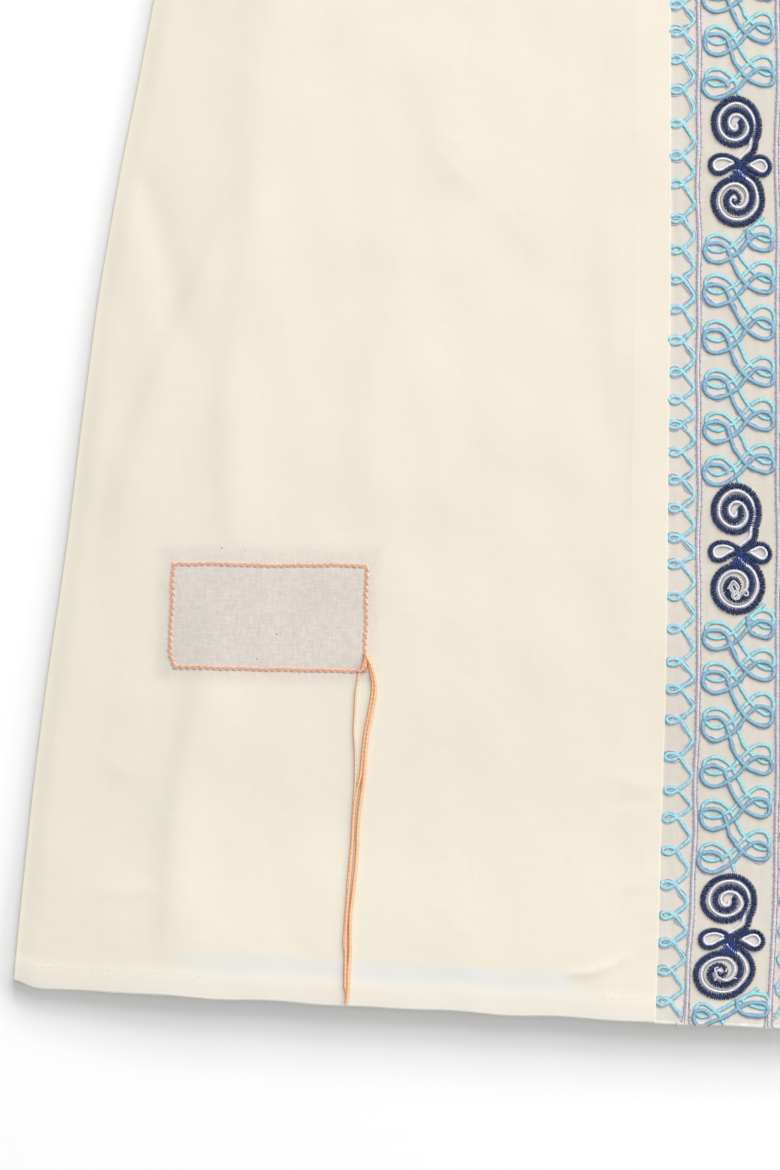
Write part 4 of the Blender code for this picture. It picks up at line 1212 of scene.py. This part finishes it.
def scrollLines():
    lines = {"navy": [], "leaf": [], "bridge": [], "white": [], "grey": []}
    lifts = scroll["lifts"]
    upper = spiral(scroll["upperMiddle"], scroll["upper"], 1)
    lower = spiral(scroll["lowerMiddle"], scroll["lower"], -1)
    inner = smoothLine(np.array(scroll["innerEnd"]) + scroll["lowerMiddle"], 0.5)
    halves = ((np.vstack([scroll["upperTail"][::-1], upper]), 1),
              (np.vstack([scroll["lowerTail"][::-1], lower]), -1))
    leaves = ((np.array(scroll["leftLeaf"]), 1), (np.array(scroll["rightLeaf"]), -1))
    for number in range(scroll["count"]):
        middle = np.array([0.0, scroll["first"] + number * scroll["period"]])
        grow = np.array(scroll["grow"][number]) * 0.001
        wider, aside, lean = scroll["lowestTurns"] if number == 0 else (1.0, 0.0, 0.0)
        for half, way in halves:
            line = smoothLine(half, 0.5)
            whole = line if way > 0 else smoothLine(np.vstack([line[:-3:4], inner[3::3]]), 0.5)
            # the white and the grey line start and end short of the cord they lie beside
            for key, path, lift in (
                    ("navy", line, lifts["navy"]),
                    ("leaf", None if way > 0 else inner, lifts["inner"]),
                    ("white", beside(whole, way * scroll["whiteOffset"])[7:-3], lifts["white"]),
                    ("grey", beside(line, way * scroll["greyOffset"])[26:-30], lifts["grey"])):
                if path is None:
                    continue
                wave = ripples(path[:, 0], path[:, 1], scroll["waveSize"], 130 + number)[:, None]
                path = path + wave * scroll["wave"] * np.array([1.0, -0.6])
                path = path * np.array([wider, 1.0])
                path[:, 0] += aside + lean * path[:, 1]
                lines[key].extend(onBand(path * grow + middle, lift))
        for leaf, way in leaves:
            line = smoothLine(leaf, 0.5)
            lines["leaf"].extend(onBand(line * grow + middle, lifts["leaf"]))
            white = beside(line, way * scroll["leafWhiteOffset"])[4:-4]
            lines["white"].extend(onBand(white * grow + middle, lifts["white"]))
        for bridge in scroll["bridges"]:
            line = smoothLine(np.array(bridge), 0.5)
            lines["bridge"].extend(onBand(line * grow + middle, lifts["bridge"]))
    return lines


scrollPaths = scrollLines()


def scrollStitches(name, key, size, material):
    breadth, height, seed = scroll[size]
    values = dict(scroll["stitches"], Breadth=breadth, Height=height, Seed=seed)
    return grown(name, scrollPaths[key], stitchTree, values, material)


scrollCord = joined("doubleScrolls", [
    scrollStitches("scrollTurns", "navy", "turnSize", navyStitch),
    scrollStitches("scrollLeaves", "leaf", "leafSize", navyStitch),
    scrollStitches("scrollBridges", "bridge", "bridgeSize", blueStitch)])
for number in range(scroll["count"]):
    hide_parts("scroll_%d" % (number + 1), "leaf_%d_left" % (number + 1),
                "leaf_%d_right" % (number + 1))
joined("scrollLining", [
    grown("whiteLine", scrollPaths["white"], cordTree, scroll["white"], whiteCord),
    grown("greyLine", scrollPaths["grey"], cordTree, scroll["grey"], greyThread)])

# Loose white threads, in millimetres of X and height: on the lowest scroll, in the centre of
# the scroll above it, and at the hem
looseThreads = {
    "lines": [
        [(-8.8, 27.9), (-10.4, 27.2), (-9.9, 25.2), (-9.0, 23.6), (-7.6, 22.7), (-5.8, 21.8),
         (-4.0, 22.1), (-2.2, 23.2), (-0.7, 22.7)],
        [(-9.0, 24.1), (-9.8, 23.0), (-10.6, 21.8)],
        [(-5.7, 25.8), (-5.3, 26.7), (-4.9, 27.5)],
        [(-4.5, 197.6), (-3.4, 199.4), (-2.0, 201.2), (-0.2, 199.6), (0.5, 198.0), (-0.9, 196.7),
         (-2.3, 195.8), (-2.7, 194.0), (-0.9, 192.8), (0.7, 193.5), (0.7, 195.3)],
        [(-3.8, 198.2), (-2.7, 196.4), (-0.7, 195.3), (1.4, 196.2), (3.2, 197.1), (4.5, 196.2),
         (4.5, 194.6), (2.9, 194.9)],
        [(-2.0, 197.3), (-1.4, 194.2), (0.0, 197.3), (-0.2, 193.1)],
        [(-2.9, 198.6), (-1.6, 196.2), (-2.0, 193.6), (0.3, 194.6), (-0.9, 198.9), (0.2, 196.0)],
        [(-27.8, 3.2), (-27.4, 1.8), (-26.6, 0.3)],
    ],
    "lift": 0.0012,
    "cord": {"Width": 0.0008, "Height": 0.0005, "Step": 0.0005, "Unevenness": 0.3, "Seed": 16},
}


def looseLines():
    lines = []
    for points in looseThreads["lines"]:
        line = smoothLine(np.array(points) * 0.001, 0.0005)
        x, height = line[:, 0], line[:, 1]
        past = np.clip(hemHeight(x) + 0.0010 - height, 0.0, 1.0)   # over the hem it hangs
        z = bandRoof(x - bandCentre(height), height) + looseThreads["lift"] - 0.9 * past
        lines.append(world(x, height, z))
    return lines


grown("looseThreads", looseLines(), cordTree, looseThreads["cord"], paleCord)

# The column of double loops between two scrolls: a cyan cord and a steel blue one over it
loops = {
    "pairs": 6, "fromScroll": -0.0310, "seed": 63, "jitter": 0.0003, "sizes": (0.97, 1.02),
    "wobble": 0.15, "cyanLift": 0.00012, "steelLift": 0.00036,
    "cord": {"Width": 0.0019, "Height": 0.0006, "Step": 0.0007, "Unevenness": 0.10},
    "steps": [18.3, 20.0, 22.3, 19.3, 19.8],    # millimetres from one pair to the next
    "chartStep": 22.0, "lastStep": 19.0,
    # the pair under the lowest scroll is flatter and reaches further right
    "lowestTall": 0.78, "lowestFrom": -0.0286, "lowestPlaces": (-15.2, -3.0, 5.5, 16.3),
    "lowestMoved": (-14.2, -6.0, 6.6, 19.4),
    # one repeat in millimetres: from the band's middle, and up from the cyan right loop's middle
    "cyan": [(3.7, 4.2), (5.9, 1.4), (8.1, -1.0), (10.4, -3.1), (13.0, -4.5), (15.4, -3.8),
             (16.4, -1.3), (16.0, 2.0), (14.1, 4.2), (10.9, 4.9), (7.8, 3.5), (5.2, 1.1),
             (2.8, -1.4), (0.9, -4.1), (-1.3, -6.6), (-3.6, -8.0), (-5.9, -9.5), (-8.5, -10.3),
             (-11.2, -9.9), (-13.1, -8.5), (-14.3, -6.2), (-13.9, -3.8), (-12.1, -2.2),
             (-9.4, -1.6), (-6.3, -2.5), (-3.6, -4.5), (-1.8, -6.8), (-0.5, -9.2), (0.9, -12.0),
             (2.3, -14.8)],
    "steel": [(-1.4, 3.0), (0.2, -0.2), (1.9, -2.9), (4.2, -5.6), (6.8, -7.7), (9.9, -9.2),
              (13.0, -9.8), (15.3, -8.8), (16.2, -6.4), (15.8, -3.5), (14.0, -1.6), (11.4, -0.9),
              (9.0, -1.3), (6.9, -2.7), (5.0, -4.6), (3.1, -7.3), (0.9, -10.3), (-1.8, -12.6),
              (-4.1, -14.4), (-6.8, -15.7), (-9.9, -16.2), (-13.0, -14.8), (-14.8, -12.1),
              (-15.2, -9.4), (-14.6, -7.4), (-12.9, -6.2), (-10.3, -5.8), (-7.6, -6.2),
              (-5.4, -7.8), (-4.2, -10.4), (-3.3, -13.2), (-2.4, -16.0)],
    "cyanStart": [(12.2, 8.8), (9.9, 5.8), (7.2, 3.0), (6.3, 0.8)], "cyanSkip": 2,
    "steelStart": [(4.5, 1.6), (4.6, -1.6), (5.2, -4.9)], "steelSkip": 4,
    "cyanCut": 5, "cyanEnd": [(-1.8, -6.8), (-0.6, -9.4), (0.2, -12.5), (0.9, -15.5)],
    "steelCut": 2, "steelEnd": [],
}


def loopColumn(key, scrollMiddle, pairs, seed):
    random = np.random.RandomState(seed)
    lowest = pairs == 1
    flat = loops["lowestTall"] if lowest else 1.0
    middle = scrollMiddle + loops["lowestFrom" if lowest else "fromScroll"]
    points = []
    for pair in range(pairs):
        chart = loops[key]
        step = loops["steps"][pair] if pair < pairs - 1 else loops["lastStep"]
        tall = flat * step / loops["chartStep"]
        place = middle + random.uniform(-1.0, 1.0) * loops["jitter"]
        size = random.uniform(*loops["sizes"])
        if pair == 0:
            chart = loops[key + "Start"] + chart[loops[key + "Skip"]:]
        if pair == pairs - 1:
            chart = chart[:-loops[key + "Cut"]] + loops[key + "End"]
        for out, up in chart:
            wobble = random.uniform(-loops["wobble"], loops["wobble"], 2)
            if lowest:
                out = np.interp(out, loops["lowestPlaces"], loops["lowestMoved"])
            points.append(((out * size + wobble[0]) * 0.001,
                           place + (up * tall + wobble[1]) * 0.001))
        middle -= step * 0.001
    return smoothLine(points, 0.0006)


def loopColumns(key):
    columns = []
    for number in range(scroll["count"]):
        middle = scroll["first"] + number * scroll["period"]
        pairs = loops["pairs"] if number > 0 else 1
        columns.append(loopColumn(key, middle, pairs, loops["seed"] + number))
    return columns


for key, seed, material in (("cyan", 10, cyanCord), ("steel", 11, steelCord)):
    runs = [run for line in loopColumns(key) for run in onBand(line, loops[key + "Lift"])]
    grown(key + "Loops", runs, cordTree, dict(loops["cord"], Seed=seed), material)

# Thin lavender threads that run loosely beside the steel loops and the zigzag, at both sides
lavender = {"reach": 0.00088, "wander": 0.5, "wave": 0.007, "lift": 0.00015,
            "cord": {"Width": 0.0005, "Height": 0.0004, "Step": 0.0014, "Sides": 4,
                     "Unevenness": 0.3, "Seed": 19}}


def lavenderLines():
    followed = list(enumerate(loopColumns("steel")))
    followed += [(40 + side, zigzagLine(side)) for side in (-1, 1)]
    lines = []
    for way in (-1, 1):
        for seed, line in followed:
            along = np.cumsum(np.linalg.norm(np.gradient(line, axis=0), axis=1))
            wander = lavender["wander"] * ripples(along, 0.0 * along, lavender["wave"], seed)
            offset = way * lavender["reach"] * (1.0 + wander)
            lines.extend(onBand(beside(line, offset[:, None]), lavender["lift"]))
    return lines


grown("lavenderThreads", lavenderLines(), cordTree, lavender["cord"], lavenderThread)
print("embroidery ready")


# The patch itself lies inside; its stitches and long thread ends show.
def patchPlace(across, up):
    lowX = mix(patchCorners["lowLeft"][0], patchCorners["lowRight"][0], across)
    low = mix(patchCorners["lowLeft"][1], patchCorners["lowRight"][1], across)
    highX = mix(patchCorners["topLeft"][0], patchCorners["topRight"][0], across)
    high = mix(patchCorners["topLeft"][1], patchCorners["topRight"][1], across)
    return mix(lowX, highX, up), mix(low, high, up)


def makePatch():
    wide = patchLook["margins"][0] / patchLook["width"]
    tall = patchLook["margins"][0] / patchLook["tall"]
    across = np.linspace(-wide, 1.0 + wide, patchLook["columns"])[None, :]
    up = np.linspace(-tall, 1.0 + tall, patchLook["rows"])[:, None]
    x, height = patchPlace(across, up)
    z = frontRoof(x, height) - lie["gauge"] - patchLook["gap"]
    maps = {"weave": np.stack([x, height], -1)}
    piece = sheetObject("insidePatch", world(x, height, z), maps, patchCloth, patchLook["gauge"])
    return finished(piece, "patch")


insidePatch = makePatch()

backstitch = {
    "wander": 0.00020, "lift": 0.00012,
    "cornerCut": 0.0060, "cornerShift": 0.0022,     # the low left corner is cut off
    "stitches": {"Pitch": 0.0029, "Length": 0.0038, "Breadth": 0.0019, "Height": 0.0003,
                 "Lean": 0.34, "Scatter": 0.10, "Segments": 10, "Rings": 8, "Seed": 12},
}


def patchSides():   # a line of stitches along each side of the patch
    order = ("topLeft", "topRight", "lowRight", "lowLeft", "topLeft")
    corners = [np.array(patchCorners[key]) for key in order]
    lines = []
    for start, end in zip(corners[:-1], corners[1:]):
        run = end - start
        share = np.linspace(0.022, 0.978, 90)
        line = start + run * share[:, None]
        corner = np.linalg.norm(line - corners[3], axis=1)
        line[:, 0] += backstitch["cornerShift"] * ease(1.0 - corner / backstitch["cornerCut"])
        across = np.array([-run[1], run[0]]) / np.linalg.norm(run)
        wander = backstitch["wander"] * ripples(line[:, 0], line[:, 1], 0.022, 90)
        line = line + across * wander[:, None]
        z = frontRoof(line[:, 0], line[:, 1]) + backstitch["lift"]
        lines.append(world(line[:, 0], line[:, 1], z))
    return lines


grown("patchStitches", patchSides(), stitchTree, backstitch["stitches"], orangeStitch)
print("patch ready")

# Thread ends: X and height of each strand's route, in millimetres
threadEnds = {
    "tail": [(-167.2, 168.8), (-166.1, 166.1), (-164.4, 162.5), (-162.8, 155), (-163.2, 148.1),
             (-164.8, 140), (-166.1, 133.2), (-167.1, 125.1), (-167.6, 117), (-168.2, 110.6),
             (-169.2, 103.6), (-170.1, 96.8), (-170.6, 89.8), (-171.0, 79.2), (-171.9, 68.9),
             (-173.0, 59), (-173.9, 52.1), (-174.1, 44.6), (-174.1, 36), (-174.4, 30.2),
             (-174.8, 25.7), (-174.9, 18.6), (-175.7, 11.7)],
    "tailSecond": [(-166.3, 167.4), (-165.8, 165.2), (-164.6, 159.8), (-163.9, 155),
                   (-164.2, 149.2), (-165.7, 141.1), (-167.1, 134.2), (-168.1, 126.7),
                   (-168.7, 119.8), (-169.4, 113.4), (-170.6, 108.5), (-171.8, 102.6),
                   (-172.6, 95), (-173.1, 84), (-174.2, 68.6), (-175.3, 55), (-176.1, 43),
                   (-176.1, 33), (-176.2, 26), (-176.3, 18.5)],
    "strand": [(-169.9, 160), (-171.4, 151.7), (-171.9, 142.3), (-172.3, 134.2),
               (-171.8, 125.5), (-171.7, 117), (-171.9, 108.5), (-172.6, 99.9), (-173, 90.9),
               (-173.5, 82.1), (-174.6, 70.7), (-175.4, 59), (-176.3, 47.4), (-176.8, 38.8),
               (-176, 31.3), (-175.7, 25.5), (-176, 16.3)],
    "knotLeft": [(-167.0, 168.2), (-167.6, 165.2), (-168.4, 162.6), (-168.9, 161.4)],
    "knotLow": [(-166.9, 166.2), (-167.2, 163.2), (-168.2, 161.2), (-170.2, 160.5)],
    "tailDiameter": 0.0017, "strandDiameter": 0.0013, "lift": 0.00035, "overStrand": 0.0003,
    "flatness": 0.85, "cord": {"Step": 0.0009, "Sides": 8, "Unevenness": 0.07, "Seed": 13},
    "knot": {"Width": 0.0016, "Height": 0.0009, "Step": 0.0007, "Sides": 8, "Unevenness": 0.15,
             "Seed": 14},
    "knotLift": 0.0007,
}


def routeOnFront(key, lift):
    line = smoothLine(np.array(threadEnds[key]) * 0.001, 0.0012)
    z = frontRoof(line[:, 0], line[:, 1]) + lift
    return world(line[:, 0], line[:, 1], z)


def makeThreadEnd(name, key, size, lift, solid=None, material=orangeThread):
    line = routeOnFront(key, lift)
    values = dict(threadEnds["cord"], Width=size, Height=size * threadEnds["flatness"])
    piece = grown(name, [line], cordTree, values, material)
    if solid:
        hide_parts(solid)


makeThreadEnd("threadTail", "tail", threadEnds["tailDiameter"],
              threadEnds["lift"] + threadEnds["overStrand"], "thread_tail")
makeThreadEnd("threadTailSecond", "tailSecond", threadEnds["tailDiameter"], threadEnds["lift"])
makeThreadEnd("threadStrand", "strand", threadEnds["strandDiameter"], threadEnds["lift"],
              "thread_strand", material=strandThread)
grown("threadKnot", [routeOnFront(key, threadEnds["knotLift"]) for key in ("knotLeft", "knotLow")],
      cordTree, threadEnds["knot"], knotThread)
print("thread ends ready")


# The hem's small stitches: only short runs come through, from X to X
hemLook = {"runs": ((-0.316, -0.238), (-0.060, -0.040), (0.052, 0.120), (0.210, 0.270)),
           "below": 0.0006, "lift": 0.00002,
           "stitches": {"Pitch": 0.0037, "Length": 0.0011, "Breadth": 0.0004, "Height": 0.0002,
                        "Lean": 0.3, "Scatter": 0.5, "Segments": 6, "Rings": 4, "Seed": 15}}


def hemStitchLines():
    lines = []
    for start, end in hemLook["runs"]:
        x = np.arange(start, end, 0.0015)
        height = hemHeight(x) + cut["turnUp"] - hemLook["below"]
        height = height + 0.0002 * ripples(x, 0 * x, 0.02, 17)
        lines.append(world(x, height, frontRoof(x, height) + hemLook["lift"]))
    return lines


hemStitches = grown("hemStitches", hemStitchLines(), stitchTree, hemLook["stitches"], creamStitch)


neckLook = {"radius": 0.0013, "gap": 0.0003, "reach": 84.0, "sink": 0.0006, "turnZ": 0.0026,
            "rearZ": 0.0016,
            "cord": {"Width": 0.0027, "Height": 0.0024, "Step": 0.0014, "Sides": 12,
                     "Unevenness": 0.04, "Seed": 16}}


def neckPath():   # along the front's neckline, round the corners and along the back's
    clear = neckLook["gap"] + neckLook["radius"]
    cornerX = cut["neckHalfWidth"] - clear
    angle = np.radians(neckLook["reach"]) * np.linspace(-1.0, 1.0, 61)
    x = cornerX * np.sin(angle)
    height = cut["neckHeight"] - (cut["frontNeckDepth"] - clear) * np.cos(angle)
    front = world(x, height, frontRoof(x, height - clear) - neckLook["sink"])
    z = neckLook["turnZ"]
    turn = world(np.array([cornerX - 0.0002, cornerX - 0.0018]),
                 np.array([cut["neckHeight"] - 0.003, cut["neckHeight"] + clear + 0.0001]),
                 np.array([z + 0.0003, z - 0.0004]))
    rearX = np.linspace(cornerX, -cornerX, 40)[2:-2]
    rear = world(rearX, backTop(rearX) + clear + 0.0002, neckLook["rearZ"])
    backTurn = turn[::-1] * np.array([-1.0, 1.0, 1.0])
    return np.vstack([front, turn, rear, backTurn, front[:2]])


neckBinding = grown("neckBinding", [neckPath()], cordTree, neckLook["cord"], bindingCloth)
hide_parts("neck_binding")
print("hem and neck ready")


# Floor, camera and light
photo = {"pixel": 0.00045, "bandX": 737, "hemY": 1028, "width": 780, "height": 1170,
         "clothZ": 0.0045}      # the cloth's height, at which a pixel has that size


def makeFloor():
    mesh = bpy.data.meshes.new("floor")
    half = 9.0      # metres
    mesh.from_pydata([(-half, -half, 0), (half, -half, 0), (half, half, 0), (-half, half, 0)],
                     [], [(0, 1, 2, 3)])
    floor = bpy.data.objects.new("floor", mesh)
    bpy.context.scene.collection.objects.link(floor)
    material = newMaterial("paleFloor", (0.900, 0.900, 0.900, 1.0), 0.9, specular=0.0)[0]
    mesh.materials.append(material)


def makeCamera():
    middleX = (photo["width"] / 2 - photo["bandX"]) * photo["pixel"]
    middleY = (photo["hemY"] - photo["height"] / 2) * photo["pixel"] - cut["centreHeight"]
    data = bpy.data.cameras.new("camera")
    data.lens = 120.0
    data.sensor_width = 36.0
    distance = photo["height"] * photo["pixel"] * data.lens / data.sensor_width
    camera = bpy.data.objects.new("camera", data)
    camera.location = (middleX, middleY, distance + photo["clothZ"])
    bpy.context.scene.collection.objects.link(camera)
    bpy.context.scene.camera = camera


def areaLight(name, place, target, sizeX, sizeY, power):
    data = bpy.data.lights.new(name, "AREA")
    data.shape = "RECTANGLE"
    data.size, data.size_y = sizeX, sizeY
    data.energy = power
    lamp = bpy.data.objects.new(name, data)
    lamp.location = place
    lamp.rotation_mode = "QUATERNION"
    lamp.rotation_quaternion = (Vector(target) - Vector(place)).to_track_quat("-Z", "Y")
    bpy.context.scene.collection.objects.link(lamp)


lights = {
    "target": (-0.15, -0.25, 0.0), "away": 7.0, "world": 0.29, "overhead": 93.0,
    "low": (17.5, 7.0, 185.0),       # elevation and height in degrees, power
    "middle": (28.0, 13.0, 218.0),
    "high": (46.0, 18.0, 95.0),
    "east": (12.0, 9.0, 150.0),
    "eastHigh": (25.0, 16.0, 200.0),
    "toEast": (0.95, 0.30), "toNorth": (0.22, 0.975),    # the way to each lamp, east and north
}


def makeLight():
    studio = bpy.data.worlds.new("studio")
    bpy.context.scene.world = studio
    studio.use_nodes = True
    background = studio.node_tree.nodes["Background"]
    background.inputs[0].default_value = (1.0, 1.0, 1.0, 1.0)
    background.inputs[1].default_value = lights["world"]
    target, away = lights["target"], lights["away"]
    areaLight("overhead", (-0.15, -0.6, 6.0), target, 4.0, 4.0, lights["overhead"])
    for name in ("low", "middle", "high", "east", "eastHigh"):
        elevation, rise, power = lights[name]
        angle = math.radians(elevation)
        east, north = lights["toEast" if name.startswith("east") else "toNorth"]
        place = (target[0] + east * away * math.cos(angle),
                 target[1] + north * away * math.cos(angle), away * math.sin(angle))
        tall = 2.0 * away * math.tan(math.radians(rise) / 2.0)
        areaLight(name, place, target, 6.0, tall, power)


makeFloor()
makeCamera()
makeLight()
bpy.context.scene.view_settings.view_transform = "Standard"
print("camera and light ready")
